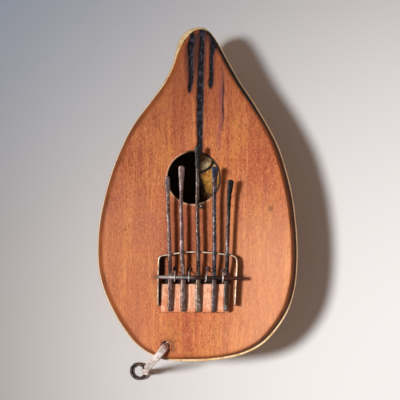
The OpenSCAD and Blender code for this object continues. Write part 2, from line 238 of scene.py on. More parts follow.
# ============================================================ materials
class Paint:
    """A material with a Principled shader, and short calls for its nodes."""

    def __init__(self, name, **plain):
        self.m = bpy.data.materials.new(name)
        self.m.use_nodes = True
        self.t = self.m.node_tree
        self.t.nodes.clear()
        out = self.t.nodes.new("ShaderNodeOutputMaterial")
        self.p = self.t.nodes.new("ShaderNodeBsdfPrincipled")
        self.t.links.new(self.p.outputs[0], out.inputs[0])
        self.where = self.t.nodes.new("ShaderNodeTexCoord").outputs["Object"]
        for key, value in plain.items():
            self.p.inputs[key.replace("_", " ")].default_value = value

    def put(self, socket, value):
        if isinstance(value, bpy.types.NodeSocket):
            self.t.links.new(value, socket)
        elif isinstance(value, (tuple, list)) and len(value) == 3 and socket.type == "RGBA":
            socket.default_value = (*value, 1)
        else:
            socket.default_value = value

    def set(self, **inputs):
        for key, value in inputs.items():
            self.put(self.p.inputs[key.replace("_", " ")], value)
        return self

    def scaled(self, scale, turn=(0, 0, 0)):
        n = self.t.nodes.new("ShaderNodeMapping")
        self.t.links.new(self.where, n.inputs[0])
        n.inputs["Scale"].default_value = scale if isinstance(scale, tuple) else (scale,) * 3
        n.inputs["Rotation"].default_value = turn
        return n.outputs[0]

    def noise(self, scale, detail=2.0, rough=0.5, warp=0.0, turn=(0, 0, 0)):
        n = self.t.nodes.new("ShaderNodeTexNoise")
        self.t.links.new(self.scaled(scale, turn), n.inputs["Vector"])
        n.inputs["Scale"].default_value = 1
        n.inputs["Detail"].default_value = detail
        n.inputs["Roughness"].default_value = rough
        n.inputs["Distortion"].default_value = warp
        return n.outputs["Fac"]

    def cells(self, scale, feature="F1"):
        n = self.t.nodes.new("ShaderNodeTexVoronoi")
        n.feature = feature
        self.t.links.new(self.scaled(scale), n.inputs["Vector"])
        n.inputs["Scale"].default_value = 1
        return n.outputs["Distance"]

    def attr(self, name):
        n = self.t.nodes.new("ShaderNodeAttribute")
        n.attribute_name = name
        return n.outputs["Fac"]

    def axis(self, k):
        n = self.t.nodes.new("ShaderNodeSeparateXYZ")
        self.t.links.new(self.where, n.inputs[0])
        return n.outputs[k]

    def math(self, op, a, b=0.0, c=0.0, clamp=False):
        n = self.t.nodes.new("ShaderNodeMath")
        n.operation, n.use_clamp = op, clamp
        for s, v in zip(n.inputs, (a, b, c)):
            self.put(s, v)
        return n.outputs[0]

    def span(self, value, low, high, to_low=0.0, to_high=1.0):
        """value from low..high to to_low..to_high, smooth at both ends."""
        n = self.t.nodes.new("ShaderNodeMapRange")
        n.interpolation_type = "SMOOTHSTEP"
        for s, v in zip(n.inputs, (value, low, high, to_low, to_high)):
            self.put(s, v)
        return n.outputs[0]

    def mix(self, fac, a, b, how="MIX"):
        n = self.t.nodes.new("ShaderNodeMix")
        n.data_type, n.blend_type = "RGBA", how
        self.put(n.inputs["Factor"], fac)
        self.put([s for s in n.inputs if s.name == "A" and s.type == "RGBA"][0], a)
        self.put([s for s in n.inputs if s.name == "B" and s.type == "RGBA"][0], b)
        return [s for s in n.outputs if s.type == "RGBA"][0]

    def bump(self, height, strength, distance, under=None):
        n = self.t.nodes.new("ShaderNodeBump")
        n.inputs["Strength"].default_value = strength
        n.inputs["Distance"].default_value = distance
        self.put(n.inputs["Height"], height)
        if under is not None:
            self.t.links.new(under, n.inputs["Normal"])
        return n.outputs[0]

    def on(self, obj):
        obj.data.materials.clear()
        obj.data.materials.append(self.m)
        return obj


def rgb(r, g, b):
    """sRGB 0 to 255 as linear."""
    return tuple(((v / 255) / 12.92 if v / 255 <= 0.04045 else ((v / 255 + 0.055) / 1.055) ** 2.4) for v in (r, g, b))


# ============================================================ the thong, before all else
# the route of the strip, as in the CAD model: [x, y, z, bearing of its width]
THONG = np.array([[-27, -128.5, 55.8, -40], [-27, -128.6, 58.5, -40], [-27, -128.8, 61.2, -40], [-27.6, -129.6, 63.8, -40],
                  [-28.9, -131.2, 66, -40], [-30.8, -133.6, 67.3, -40], [-33, -136.5, 67.3, -40], [-35.2, -139.2, 65.9, -40],
                  [-37.1, -141.5, 63.1, -40], [-38.8, -143.7, 59.2, -40], [-40.4, -146, 54, -40], [-41.9, -148.2, 47.5, -41],
                  [-43.2, -150.3, 40.5, -43], [-44.2, -152.3, 33, -46], [-44.8, -154.2, 26, -50], [-45, -156, 19.5, -56],
                  [-44.8, -157.4, 14, -64]])
LOOP = np.array([[-44.8, -157.4, 14, -64], [-44.5, -158.1, 11.4, -72], [-44.8, -158.5, 9.4, -82], [-46.1, -158.7, 8.5, -88],
                 [-47.8, -158.7, 8.2, -88], [-49.2, -158.8, 7, -88], [-49.7, -158.8, 5.3, -88], [-49.1, -158.9, 3.8, -88],
                 [-47.6, -159.1, 2.9, -88], [-45.4, -159.5, 2.3, -86], [-42.9, -160.2, 1.8, -83], [-40.6, -161, 1.5, -80]])


def hide_strip(name, R, width, thick, seed, ends=(1.0, 1.0), step=6):
    """A strip of rawhide along the rows of R (x, y, z, bearing): uneven edges, a curl across it, and a dry, creased face."""
    Q = catmull(R, step)
    P, phi = Q[:, :3], np.radians(Q[:, 3])
    n = len(P)
    s = np.concatenate([[0], np.cumsum(np.linalg.norm(np.diff(P, axis=0), axis=1))])
    k = 28
    base = rounded(k, 3.4) * 2
    wide = width / 2 * (0.93 + 0.07 * line_noise(s, 9, seed))
    wide = wide * (ends[0] + (1 - ends[0]) * smooth(0, 5, s)) * (1 - (1 - ends[1]) * smooth(s[-1] - 5, s[-1], s))
    high = thick / 2 * (0.86 + 0.12 * line_noise(s, 7, seed + 1))
    prof = np.zeros((n, k, 2))
    for j in range(k):
        u, v = base[j]
        edge = abs(u) ** 6
        ragged = 0.16 * line_noise(s, 1.6, seed + 3 + (u > 0)) + 0.12 * line_noise(s, 4.1, seed + 7 + (u > 0))
        prof[:, j, 0] = u * wide + np.sign(u) * edge * ragged
        cup = 0.30 * (u * u - 0.4) * line_noise(s, 16, seed + 11)
        crease = 0.10 * line_noise(s + 3.1 * u, 2.3, seed + 13) + 0.07 * line_noise(s * 0.35 + 9 * u, 0.8, seed + 19)
        prof[:, j, 1] = v * high * (1 - 0.35 * edge) + cup + crease * (1 if v > 0 else 0.5)
    side = np.stack([np.cos(phi), np.sin(phi), np.zeros(n)], 1)
    across = np.tile(base[:, 0], (n, 1))
    return strand(name, P, side, prof, {"across": across, "along": np.repeat(s, k).reshape(n, k)}), P


thong, thong_line = hide_strip("rawhide_thong", THONG, 6.5, 1.75, 11)
loop, loop_line = hide_strip("rawhide_fold", LOOP, 5.7, 1.7, 43, ends=(1.0, 0.62))

# the iron ring: a hand-bent circle of uneven wire, with the seam where its ends meet
ring_lo, ring_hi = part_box("thong_ring")
ring_mid = (np.array(ring_lo) + np.array(ring_hi)) / 2 / MM
RING_R, RING_W, RING_TILT = 6.6, 2.8, math.radians(20)


def iron_ring():
    n, k = 112, 18
    a = np.linspace(0, 2 * math.pi, n, endpoint=False)
    seam = np.exp(-(((a - 2.5) / 0.06) ** 2))
    r = RING_R + 0.12 * np.cos(2 * a + 0.5) + 0.08 * line_noise(a * 3, 1, 5) + 0.16 * np.tanh((a - 2.5) / 0.05) * np.exp(-(((a - 2.5) / 0.35) ** 2))
    P = np.stack([r * np.cos(a), r * np.sin(a), 0.12 * np.sin(2 * a)], 1)
    side = np.stack([np.cos(a), np.sin(a), np.zeros(n)], 1)
    base = rounded(k, 2.3) * RING_W
    wob = 1 + 0.035 * np.array([fbm(np.stack([a * RING_R, np.full(n, j * 0.8), np.zeros(n)], 1), 1.8, 2, 8) for j in range(k)]).T
    prof = base[None] * wob[..., None] * (1 - 0.22 * seam)[:, None, None]
    c, s = math.cos(math.radians(2)), math.sin(math.radians(2))
    P = np.stack([P[:, 0] * math.cos(RING_TILT) - P[:, 2] * math.sin(RING_TILT), P[:, 1], P[:, 0] * math.sin(RING_TILT) + P[:, 2] * math.cos(RING_TILT)], 1)
    side = np.stack([side[:, 0] * math.cos(RING_TILT), side[:, 1], side[:, 0] * math.sin(RING_TILT)], 1)
    turn = np.array([[c, -s, 0], [s, c, 0], [0, 0, 1]])
    return strand("iron_ring", P @ turn.T + ring_mid, side @ turn.T, prof, {"seam": np.repeat(seam, k).reshape(n, k)}, closed=True)


ring = iron_ring()
for piece, node, slot in ((thong, "thong", "rawhide"), (loop, "thong_loop", "rawhide"), (ring, "thong_ring", "ring_iron")):
    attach(piece, "instrument")
    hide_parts(node)

# ============================================================ the outline
RAW = [[2.1, 142.7], [-7.9, 139.8], [-15.1, 132.4], [-18.1, 122.4], [-21.7, 109.5], [-29.3, 94.7],
       [-41.4, 78], [-54.9, 59.9], [-64.9, 40.7], [-73, 20.5], [-79.2, -0.7], [-83.7, -21.8],
       [-85.4, -41.9], [-85, -60.9], [-80.9, -79.9], [-73.1, -98.3], [-63.5, -114.9], [-52.7, -128.3],
       [-39.7, -137.4], [-25.2, -141.9], [-5.9, -142.8], [16.2, -141.5], [37.4, -137.3], [54.7, -128.8],
       [68.2, -115], [78.1, -98.4], [83.4, -80], [85.4, -60.9], [85.5, -41.9], [84, -21.8],
       [81.1, -0.8], [76, 20.3], [69.3, 40.6], [59.8, 59.5], [48.8, 77.6], [37.4, 94.5],
       [28.7, 109.4], [21.6, 122.4], [15.7, 132.5], [9.5, 139.9]]
fine = catmull(RAW, 60, closed=True)
g_lo, g_hi = (np.array(v)[:2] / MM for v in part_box("gourd_shell"))
coarse = catmull(RAW, 2, closed=True)
fine = (fine - (coarse.min(0) + coarse.max(0)) / 2) * (g_hi - g_lo) / (coarse.max(0) - coarse.min(0)) + (g_lo + g_hi) / 2


def outline(n):
    """The body's outline at n even steps, anticlockwise from the tip, with its inward directions."""
    Q = by_length(fine, n, closed=True)
    t = unit(np.roll(Q, -2, 0) - np.roll(Q, 2, 0))
    return Q, np.stack([-t[:, 1], t[:, 0]], 1)


def edge_gap(Q):
    """How far in from the outline the board starts."""
    return (1.5 + 0.35 * np.clip((-Q[:, 1] - 95) / 25, 0, 1)
            + 3.1 * np.exp(-(((Q[:, 0] + 14) / 13) ** 2) - (((Q[:, 1] - 134) / 11) ** 2)))


def bevel_width(Q):
    return ((3.4 + 0.8 * (Q[:, 0] + 86) / 172) * (1 - 0.34 * np.clip((-Q[:, 1] - 118) / 20, 0, 1))
            * (1 - 0.3 * np.clip((Q[:, 1] - 112) / 20, 0, 1)))


# ============================================================ the soundboard
HOLE = np.array([-3.4, 13.8])
HOLE_R = 22.0
THONG_HOLE = (-27.0, -128.6)
TIES = [[-19.3, -74.6, -18.8, -63.8], [-7.4, -74.6, -6.9, -64], [6.4, -74.8, 8.6, -64.2], [21.5, -75, 22, -64.4]]
TACK = (3.4, HOLE[1] - HOLE_R - 1.9)
# the three lines burnt into the neck: the middle one runs down to the sound hole. [x, y, half width]
BURNS = [np.array([[-4.6, 139.0, 1.5], [-4.3, 134.0, 2.6], [-5.0, 128.5, 3.1], [-5.6, 121.5, 2.3], [-5.4, 113.0, 1.95], [-5.1, 104.5, 2.3],
                   [-5.2, 97.0, 2.1], [-6.2, 91.0, 1.9], [-6.5, 87.6, 1.2]]),
         np.array([[3.4, 142.2, 3.4], [4.0, 138.5, 2.5], [4.2, 132.0, 2.0], [3.9, 122.0, 2.4], [3.2, 112.0, 2.6], [2.9, 102.0, 2.9], [2.6, 92.0, 3.1],
                   [2.4, 80.0, 3.1], [2.3, 68.0, 3.1], [2.4, 56.0, 2.8], [2.3, 48.0, 2.3], [2.1, 42.0, 2.6], [1.6, 37.0, 3.0], [1.2, 34.0, 3.1]]),
         np.array([[11.2, 137.6, 1.6], [13.0, 133.6, 2.6], [14.2, 129.2, 3.2], [13.4, 124.6, 2.6], [12.1, 119.0, 1.9], [12.0, 110.0, 1.7],
                   [12.0, 100.0, 1.8], [11.6, 95.6, 2.4], [11.4, 92.6, 1.8], [11.4, 90.8, 0.9]])]
STREAK = np.array([[20.6, 118.0], [21.4, 108.0], [22.0, 98.0], [22.2, 88.0], [21.8, 76.0], [22.4, 66.0], [21.6, 58.0], [20.0, 51.0]])
SCRATCHES = [([-70.5, -36.0], [-55.0, -17.5], 0.5), ([-68.0, -27.5], [-60.5, -17.0], 0.3), ([-66.5, -30.5], [-58.5, -20.5], 0.35),
             ([-46.0, -76.0], [-38.5, -66.0], 0.35), ([-54.0, -60.5], [-50.0, -52.5], 0.3), ([44.0, 18.0], [47.5, 26.5], 0.25),
             ([55.0, -92.0], [63.0, -84.5], 0.28), ([-20.5, -112.0], [-12.0, -106.5], 0.25), ([38.0, -52.0], [40.5, -43.0], 0.25)]


def burnt(x, y, i):
    """Distance from the middle of burnt line i, and the line's half width there."""
    p = np.stack([x, y, np.zeros_like(x)], 1)
    line = BURNS[i]
    r, along = segment_distance(x, y, line[:, :2])
    half = np.interp(along, np.linspace(0, 1, len(line)), line[:, 2])
    return r, half * (1 + 0.10 * noise3(p, (9, 5, 9), 31 + i) + 0.07 * noise3(p, (2, 1.6, 2), 51 + i))


def burn_masks(x, y):
    """The char in the burnt lines, the toasted wood beside them, and the dark streak, 0 to 1."""
    p = np.stack([x, y, np.zeros_like(x)], 1)
    char, toast = np.zeros_like(x), np.zeros_like(x)
    for i in range(len(BURNS)):
        r, w = burnt(x, y, i)
        char = np.maximum(char, 1 - smooth(w * 0.70, w * 1.18, r))
        toast = np.maximum(toast, 1 - smooth(w * 0.8, w * 0.8 + 2.7, r))
    # the very tip is charred all over, and the lines spread into it
    tip = smooth(128, 139, y + 3.0 * noise3(p, (4, 5, 4), 57)) * (0.55 + 0.45 * noise3(p, (3, 6, 3), 58))
    char = np.maximum(char, 0.85 * np.clip(tip, 0, 1) * smooth(-9, -1, x))
    r, along = segment_distance(x, y, STREAK)
    streak = (1 - smooth(0.35, 1.15, r * (1 + 0.3 * noise3(p, (3, 9, 3), 59)))) * (1 - smooth(0.62, 1.0, along)) * smooth(0, 0.45, along)
    side = (x - np.interp(y, STREAK[::-1, 1], STREAK[::-1, 0]))
    stain = np.exp(-(((side + 1.9) / 2.1) ** 2)) * smooth(26, 48, y) * (1 - smooth(78, 118, y))
    return char, toast, np.clip(streak, 0, 1), np.clip(stain, 0, 1)


def board_drop(x, y):
    """How far the board's top lies under its flat, in mm: char grooves, tool marks, scratches, dents."""
    p = np.stack([x, y, np.zeros_like(x)], 1)
    drop = 0.10 * (fbm(p, (26, 44, 26), 3, 3) + 0.6)
    drop = drop + 0.045 * np.abs(noise3(p, (5.5, 19, 5), 71))
    for i in range(len(BURNS)):
        r, w = burnt(x, y, i)
        q = np.clip(r / (w * 1.12), 0, 1)
        drop = drop + (0.70 + 0.14 * noise3(p, (1.6, 2.6, 2), 61 + i)) * (1 - q * q) ** 1.1
        drop = drop - 0.10 * np.exp(-(((r - w * 1.35) / (0.35 * w)) ** 2)) * (0.7 + 0.5 * noise3(p, (3, 6, 3), 64 + i))
    r, along = segment_distance(x, y, STREAK)
    drop = drop + 0.12 * np.exp(-((r / 0.7) ** 2)) * (1 - smooth(0.55, 1.0, along))
    for a, b, deep in SCRATCHES:
        r, along = segment_distance(x, y, np.array([a, b]))
        drop = drop + deep * 0.5 * np.exp(-((r / 0.42) ** 2)) * np.sin(math.pi * np.clip(along, 0.02, 0.98)) ** 0.5
    rng = np.random.default_rng(5)
    for k in range(46):
        cx, cy = rng.uniform(-78, 78), rng.uniform(-132, 92)
        rad, deep = rng.uniform(0.7, 2.2), rng.uniform(0.06, 0.2)
        near = (np.abs(x - cx) < 8) & (np.abs(y - cy) < 8)
        if near.any():
            q = np.hypot(x[near] - cx, (y[near] - cy) * rng.uniform(0.5, 1.0)) / rad
            drop[near] = drop[near] + deep * np.exp(-q * q)
    return drop


# dark spots [x, y, radius, strength]: knots, the tack's grime, marks where iron has rubbed off, and a painted shadow to
# the right of and below the thong's hole
SPOTS = [(62.4, -11.7, 1.9, 0.42), (3.4, -10.1, 2.1, 1.0), (-19.8, 52.0, 0.8, 0.4), (-62.0, -30.0, 1.0, 0.35),
         (-26.2, -129.2, 5.3, 0.6), (-36.0, -70.0, 3.4, 0.25), (38.5, -71.0, 2.6, 0.35)]


def grime_and_shade_at(x, y):
    """Dark marks: knots, the tack's grime, where iron has rubbed off on the wood, grime round the tie holes and a line
    of dirt along the backrest's foot; also a painted shadow beside the thong's hole, and painted shade between the bar
    and the backrest and inside the bridge's left corner.
    """
    p = np.stack([x, y, np.zeros_like(x)], 1)
    g = np.zeros_like(x)
    for cx, cy, rad, deep in SPOTS:
        r = np.hypot(x - cx, y - cy) * (1 + 0.25 * noise3(p, 1.7, 93))
        g = np.maximum(g, deep * (1 - smooth(rad * 0.7, rad * 1.7, r)))
    for ax, ay, bx, by in TIES:
        for cx, cy in ((ax, ay), (bx, by)):
            g = np.maximum(g, 0.75 * (1 - smooth(1.1, 3.0, np.hypot(x - cx, y - cy) * (1 + 0.25 * noise3(p, 1.4, 94)))))
    # painted shade: the wood is black between the bar and the backrest, and inside the left corner of the bridge, where
    # the bridge's wall shades it
    q = y + 0.7 * noise3(p, (2.4, 2.4, 2), 96)
    g = np.maximum(g, 0.98 * smooth(-78, -76.4, q) * (1 - smooth(-71.6, -69.4, q)) * (1 - smooth(27.5, 31, np.abs(x + 1.2))))
    q = x + 0.6 * noise3(p, (2.4, 3.4, 2), 97)
    g = np.maximum(g, 0.92 * smooth(-33.5, -31.8, q) * (1 - smooth(-28.4, -26.6, q)) * (1 - smooth(-53.6, -51.6, y)) * smooth(-71, -68, y))
    g = np.maximum(g, 0.5 * smooth(-33.5, -31.8, q) * (1 - smooth(-30.8, -29.6, q)) * (1 - smooth(-70, -67, y)) * smooth(-97, -92, y))
    # a line of dirt along the backrest's foot
    foot = segment_distance(x, y, np.array([[-31.2, -76.2], [-31.2, -100.1], [27.0, -100.1]]))[0]
    g = np.maximum(g, 0.5 * (1 - smooth(0.2, 1.0, foot + 0.35 * noise3(p, 1.5, 98))))
    return g


def soundboard():
    n = 700
    Q, inward = outline(n)
    gap, bev = edge_gap(Q), bevel_width(Q)
    s = np.arange(n) * 1.06
    ring_p = np.stack([Q[:, 0], Q[:, 1], np.zeros(n)], 1)
    bev = bev * (1 + 0.07 * fbm(ring_p, 17, 3, 12) + 0.03 * noise3(ring_p, 3.2, 13))
    nick = 0.10 * fbm(ring_p, 6, 3, 14)
    edge0 = Q + inward * (gap + nick * 0.5)[:, None]
    edge1 = Q + inward * (gap + bev)[:, None]
    ang = np.arctan2(edge1[:, 1] - HOLE[1], edge1[:, 0] - HOLE[0])
    ray = np.stack([np.cos(ang), np.sin(ang)], 1)
    hole_p = np.stack([22 * np.cos(ang), 22 * np.sin(ang), np.zeros(n)], 1)
    chip = 0.5 + 0.5 * noise3(hole_p, 3.1, 23)
    rings, zs, bevel, lip = [], [], [], []

    def add(xy, z, b=0.0, down=0.0):
        lip.append(np.full(n, down))
        rings.append(xy)
        zs.append(np.broadcast_to(np.asarray(z, float), (n,)))
        bevel.append(np.broadcast_to(np.asarray(b, float), (n,)))

    def at_hole(r, z):
        add(HOLE + ray * (np.asarray(r) * np.ones(n))[:, None], z)

    depth = TOP - RIM
    # underneath, from the edge in to the hole
    for t in (0.0, 0.06, 0.2, 0.4, 0.6, 0.8, 0.94):
        add((1 - t) * edge0 + t * (HOLE + ray * HOLE_R), RIM + 0.02)
    # the wall of the hole, with a worn, scorched arris
    at_hole(HOLE_R, RIM + 0.02)
    at_hole(HOLE_R - 0.02, RIM + 1.4)
    at_hole(HOLE_R + 0.03, RIM + 3.0)
    soft = 0.45 + 0.35 * chip
    at_hole(HOLE_R + 0.02, TOP - 1.2 * soft)
    at_hole(HOLE_R + 0.10 * soft, TOP - 0.62 * soft)
    at_hole(HOLE_R + 0.34 * soft, TOP - 0.22 * soft)
    at_hole(HOLE_R + 0.75 * soft, TOP - 0.04 * soft)
    # the top face
    m = 106
    start = HOLE + ray * (HOLE_R + 1.25)
    for i in range(m):
        t = (i / (m - 1)) ** 0.97
        xy = (1 - t) * start + t * edge1
        z = TOP - board_drop(xy[:, 0], xy[:, 1]) * smooth(0, 0.012, np.full(n, t)) + 0.0
        add(xy, z, 0.0)
    last = zs[-1]
    # the rounded edge
    for k in (0.93, 0.82, 0.68, 0.53, 0.38, 0.24, 0.12, 0.04, 0.0):
        xy = Q + inward * (gap + k * bev + (1 - k) * nick * 0.5)[:, None]
        power = 1.62 - 0.22 * smooth(-20, 40, Q[:, 0])
        z = RIM + depth * (1 - (1 - k) ** power) ** (1 / power) + 0.02
        z = z - (TOP - last) * smooth(0.3, 1.0, np.full(n, k)) - 0.16 * (1 - abs(2 * k - 1)) * fbm(ring_p, (7, 7, 7), 2, 81)
        add(xy, z, 1.0, 1 - k)
    V = np.concatenate([np.stack(rings), np.stack(zs)[..., None]], 2)
    x, y = V[..., 0].ravel(), V[..., 1].ravel()
    char, toast, streak, stain = burn_masks(x, y)
    # the bevel's stain reaches a little way on to the top
    B = np.stack(bevel)
    top_at = 7 + 7
    for i in range(4):
        B[top_at + m - 1 - i] = (0.75, 0.3, 0.08, 0.0)[i]
    hole_d = np.hypot(x - HOLE[0], y - HOLE[1]) - HOLE_R
    round_hole = np.degrees(np.arctan2(y - HOLE[1], x - HOLE[0]))
    right = smooth(-62, -30, round_hole) * (1 - smooth(98, 118, round_hole))
    p3 = np.stack([x, y, np.zeros_like(x)], 1)
    reach = 0.35 + (1.45 + 0.35 * noise3(p3, 3.4, 95)) * right
    scorch = np.clip(1 - smooth(reach * 0.6, reach + 0.35, hole_d), 0, 1) * (0.45 + 0.55 * right)
    # painted highlight: a pale rim along the left edge of the hole
    brightened = np.clip(1 - smooth(0.5, 1.7, hole_d), 0, 1) * (1 - right) * smooth(-0.1, 0.2, hole_d)
    obj = make("soundboard_wood", V.reshape(-1, 3), grid(len(rings), n, closed_rows=True),
               {"bevel": B.ravel(), "char": char, "toast": toast, "scorch": scorch, "streak": streak, "stain": stain,
                "brightened": brightened, "lip": np.stack(lip).ravel(),
                "grime_and_shade": grime_and_shade_at(x, y)})
    cutters = []

    def drill(cx, cy, r, z0, z1, wob, seed, k=40):
        a = np.linspace(0, 2 * math.pi, k, endpoint=False)
        c, s_ = np.cos(a), np.sin(a)
        rr = r * (1 + wob * line_noise(a * 2.2, 1, seed))
        levels = [(z0, 1.0), (TOP - 1.2, 1.0), (TOP - 0.5, 1.06), (z1, 1.32)]
        L = np.stack([np.stack([cx + rr * f * c, cy + rr * f * s_, np.full(k, z)], 1) for z, f in levels])
        faces = grid(len(levels), k).tolist() + [list(range(k - 1, -1, -1)), [(len(levels) - 1) * k + j for j in range(k)]]
        cutters.append(make("cutter", L.reshape(-1, 3), faces))

    drill(*THONG_HOLE, 3.7, RIM - 3, TOP + 1.0, 0.04, 3)
    for t in TIES:
        drill(t[0], t[1], 0.86, RIM - 3, TOP + 0.8, 0.05, 4, 20)
        drill(t[2], t[3], 1.05, RIM - 3, TOP + 0.8, 0.09, 5, 20)
    cut(obj, cutters)
    obj.data.polygons.foreach_set("use_smooth", [True] * len(obj.data.polygons))
    obj.data.set_sharp_from_angle(angle=math.radians(38))
    return obj


# ============================================================ the gourd
DEPTHS = [1, 1, 0.985, 0.9, 0.775, 0.64, 0.51, 0.41, 0.345, 0.305, 0.285, 0.28]
depth_line = catmull(np.stack([np.arange(12) * 20 - 60, DEPTHS], 1), 30)


def depth_at(y):
    return np.interp(y, depth_line[:, 0], depth_line[:, 1])


def spine(Q):
    y = np.clip(Q[:, 1], -50, 118)
    x = 3.4 * np.sin(np.radians(90 * np.clip((y + 20) / 100, 0, 1))) - 1.4 * np.clip((y - 80) / 40, 0, None)
    return np.stack([x, y], 1)


def gourd():
    n = 440
    Q, inward = outline(n)
    S = spine(Q)
    rim = RIM - 0.03
    wall, deep = 4.0, RIM + 0.8
    inner = Q + inward * wall
    outer_a = np.concatenate([np.linspace(0, 80, 40), np.linspace(81.5, 89.4, 9)])
    inner_a = np.concatenate([np.linspace(0, 80, 34), np.linspace(82, 89.2, 7)])
    rings, zone_rim, zone_in, across = [], [], [], []
    for a in outer_a[::-1]:
        across.append(np.full(n, 0.0))
        c, s = math.cos(math.radians(a)), math.sin(math.radians(a))
        xy = S + (Q - S) * c
        z = rim - depth_at(S[:, 1]) * deep * s
        rings.append(np.concatenate([xy, z[:, None]], 1))
        zone_rim.append(np.full(n, 0.0))
        zone_in.append(np.full(n, 0.0))
    # the cut face of the rim
    ring_p = np.concatenate([Q, np.zeros((n, 1))], 1)
    lip = 0.05 * fbm(ring_p, 9, 3, 91)
    for f in (0.06, 0.12, 0.18, 0.26, 0.36, 0.5, 0.85):
        xy = Q + inward * (wall * f)
        z = rim + (0.0 if f > 0.3 else -0.10 * (f < 0.1)) + np.minimum(lip, 0) * (1 if f < 0.4 else 0.3)
        rings.append(np.concatenate([xy, z[:, None]], 1))
        zone_rim.append(np.full(n, 0.55 if f < 0.1 else 1.0))
        zone_in.append(np.full(n, 0.0))
        across.append(np.full(n, f))
    for a in inner_a:
        across.append(np.full(n, 1.0))
        c, s = math.cos(math.radians(a)), math.sin(math.radians(a))
        xy = S + (inner - S) * c
        z = rim - (depth_at(S[:, 1]) * deep - wall) * s
        rings.append(np.concatenate([xy, z[:, None]], 1))
        zone_rim.append(np.full(n, 1.0 if a < 1 else 0.0))
        zone_in.append(np.full(n, 0.0 if a < 1 else 1.0))
    V = np.stack(rings)
    m = len(rings)
    flat_v = V.reshape(-1, 3)
    # the skin's low undulations, and the pithy inside
    mid = np.array([0, -20, RIM])
    out_dir = unit(flat_v - mid)
    rim_fade = smooth(0.5, 9, RIM - flat_v[:, 2])
    zi = np.stack(zone_in).ravel()
    wave = 0.42 * fbm(flat_v, (34, 46, 26), 3, 101) + 0.10 * fbm(flat_v, 8, 2, 105)
    pith = 0.30 * fbm(flat_v, (9, 13, 9), 3, 111) + 0.26 * np.abs(fbm(flat_v, (3.0, 11, 3.0), 2, 117))
    amount = np.where(zi > 0.5, pith, wave) * rim_fade
    flat_v = flat_v + out_dir * amount[:, None]
    # the belly is worn flat where it has stood
    flat_v[:, 2] = np.where(zi > 0.5, flat_v[:, 2], np.maximum(flat_v[:, 2], 0.0))
    g_top = RIM - 0.01
    flat_v[:, 2] = np.minimum(flat_v[:, 2], g_top)
    worn = (1 - smooth(0.0, 1.1, flat_v[:, 2])) * (zi < 0.5)
    faces = grid(m, n).tolist()

    # the last ring at each end lies either side of the spine, and is closed by rungs
    def rungs(base):
        half = n // 2
        out = [[base, base + 1, base + n - 1]]
        for i in range(1, half - 1):
            out.append([base + i, base + i + 1, base + n - i - 1, base + n - i])
        out.append([base + half - 1, base + half, base + half + 1])
        return out
    faces += rungs(0) + rungs((m - 1) * n)
    obj = make("gourd_half", flat_v, faces, {"rim": np.stack(zone_rim).ravel(), "inside": zi, "worn": worn, "across": np.stack(across).ravel()})
    # the crack in the floor under the sound hole: a thin wedge along a jagged line is cut out
    line = np.array([[15.6, 32.0], [14.4, 29.8], [13.3, 27.6], [12.3, 25.4], [10.2, 23.2], [8.0, 21.6], [5.4, 20.5], [2.6, 19.6], [-0.8, 18.8], [-5.0, 17.4]])
    line = by_length(catmull(line, 6), 34)
    k = len(line)
    t = unit(np.gradient(line, axis=0))
    nrm = np.stack([-t[:, 1], t[:, 0]], 1)
    u = np.linspace(0, 1, k)
    half = 1.35 * np.clip(np.minimum(u / 0.08, (1 - u) / 0.35), 0.04, 1) * (1 + 0.35 * line_noise(u * 22, 1, 9)) + 0.02
    jag = 0.3 * line_noise(u * 30, 1, 19)
    mid_line = line + nrm * jag[:, None]
    floor_z = np.array([RIM - (depth_at(y) * (RIM + 0.8) - 4) for y in line[:, 1]])
    lo_z, hi_z = floor_z - 2.2, floor_z + 9
    sections = []
    for off, zz in ((-0.25, lo_z), (0.25, lo_z), (1.3, hi_z), (-1.3, hi_z)):
        sections.append(np.concatenate([mid_line + nrm * (half * off)[:, None], zz[:, None]], 1))
    C = np.stack(sections, 1)
    cf = grid(k, 4).tolist() + [[3, 2, 1, 0], [(k - 1) * 4 + j for j in range(4)]]
    cut(obj, [make("cutter", C.reshape(-1, 3), cf)])
    co = np.zeros(len(obj.data.vertices) * 3)
    obj.data.vertices.foreach_get("co", co)
    co = co.reshape(-1, 3) / MM
    off = segment_distance(co[:, 0], co[:, 1], mid_line)[0]
    # painted shade along the crack, on the floor of the bowl
    dark = (1 - smooth(0.62, 1.25, off)) * (co[:, 2] < RIM - 22) * (co[:, 2] > 8)
    a = obj.data.attributes.new("crack", "FLOAT", "POINT")
    a.data.foreach_set("value", dark.astype(np.float32))
    obj.data.polygons.foreach_set("use_smooth", [True] * len(obj.data.polygons))
    obj.data.set_sharp_from_angle(angle=math.radians(44))
    return obj


board = soundboard()
shell = gourd()

# ============================================================ the tongues
TONGUES = [[[-23, -22.8, -23.3, -24.8, -25.3], -99, 15, 4.6, 4.5, 12.3],
           [[-11.9, -12, -12.9, -13.6, -13.1], -99.2, 23.8, 5.3, 5.1, 12.6],
           [[0.6, 0.9, 0.9, -0.2, 0.3], -99.6, 40.2, 4.9, 5.2, 13],
           [[13.6, 14.3, 14.5, 14.2, 14.8], -100, 23.2, 5.3, 4.3, 12.6],
           [[23.8, 24.8, 25.1, 26.6, 28.1], -99, 12.1, 5.3, 4.1, 12.4]]
PIVOT_Y = [-51, -49.4, -49, -49.9, -51.2]
PIVOT_Z = HOOP + 0.25 + 1.1
TAIL_Z = TOP + 5.4 + 0.35 + 1.0


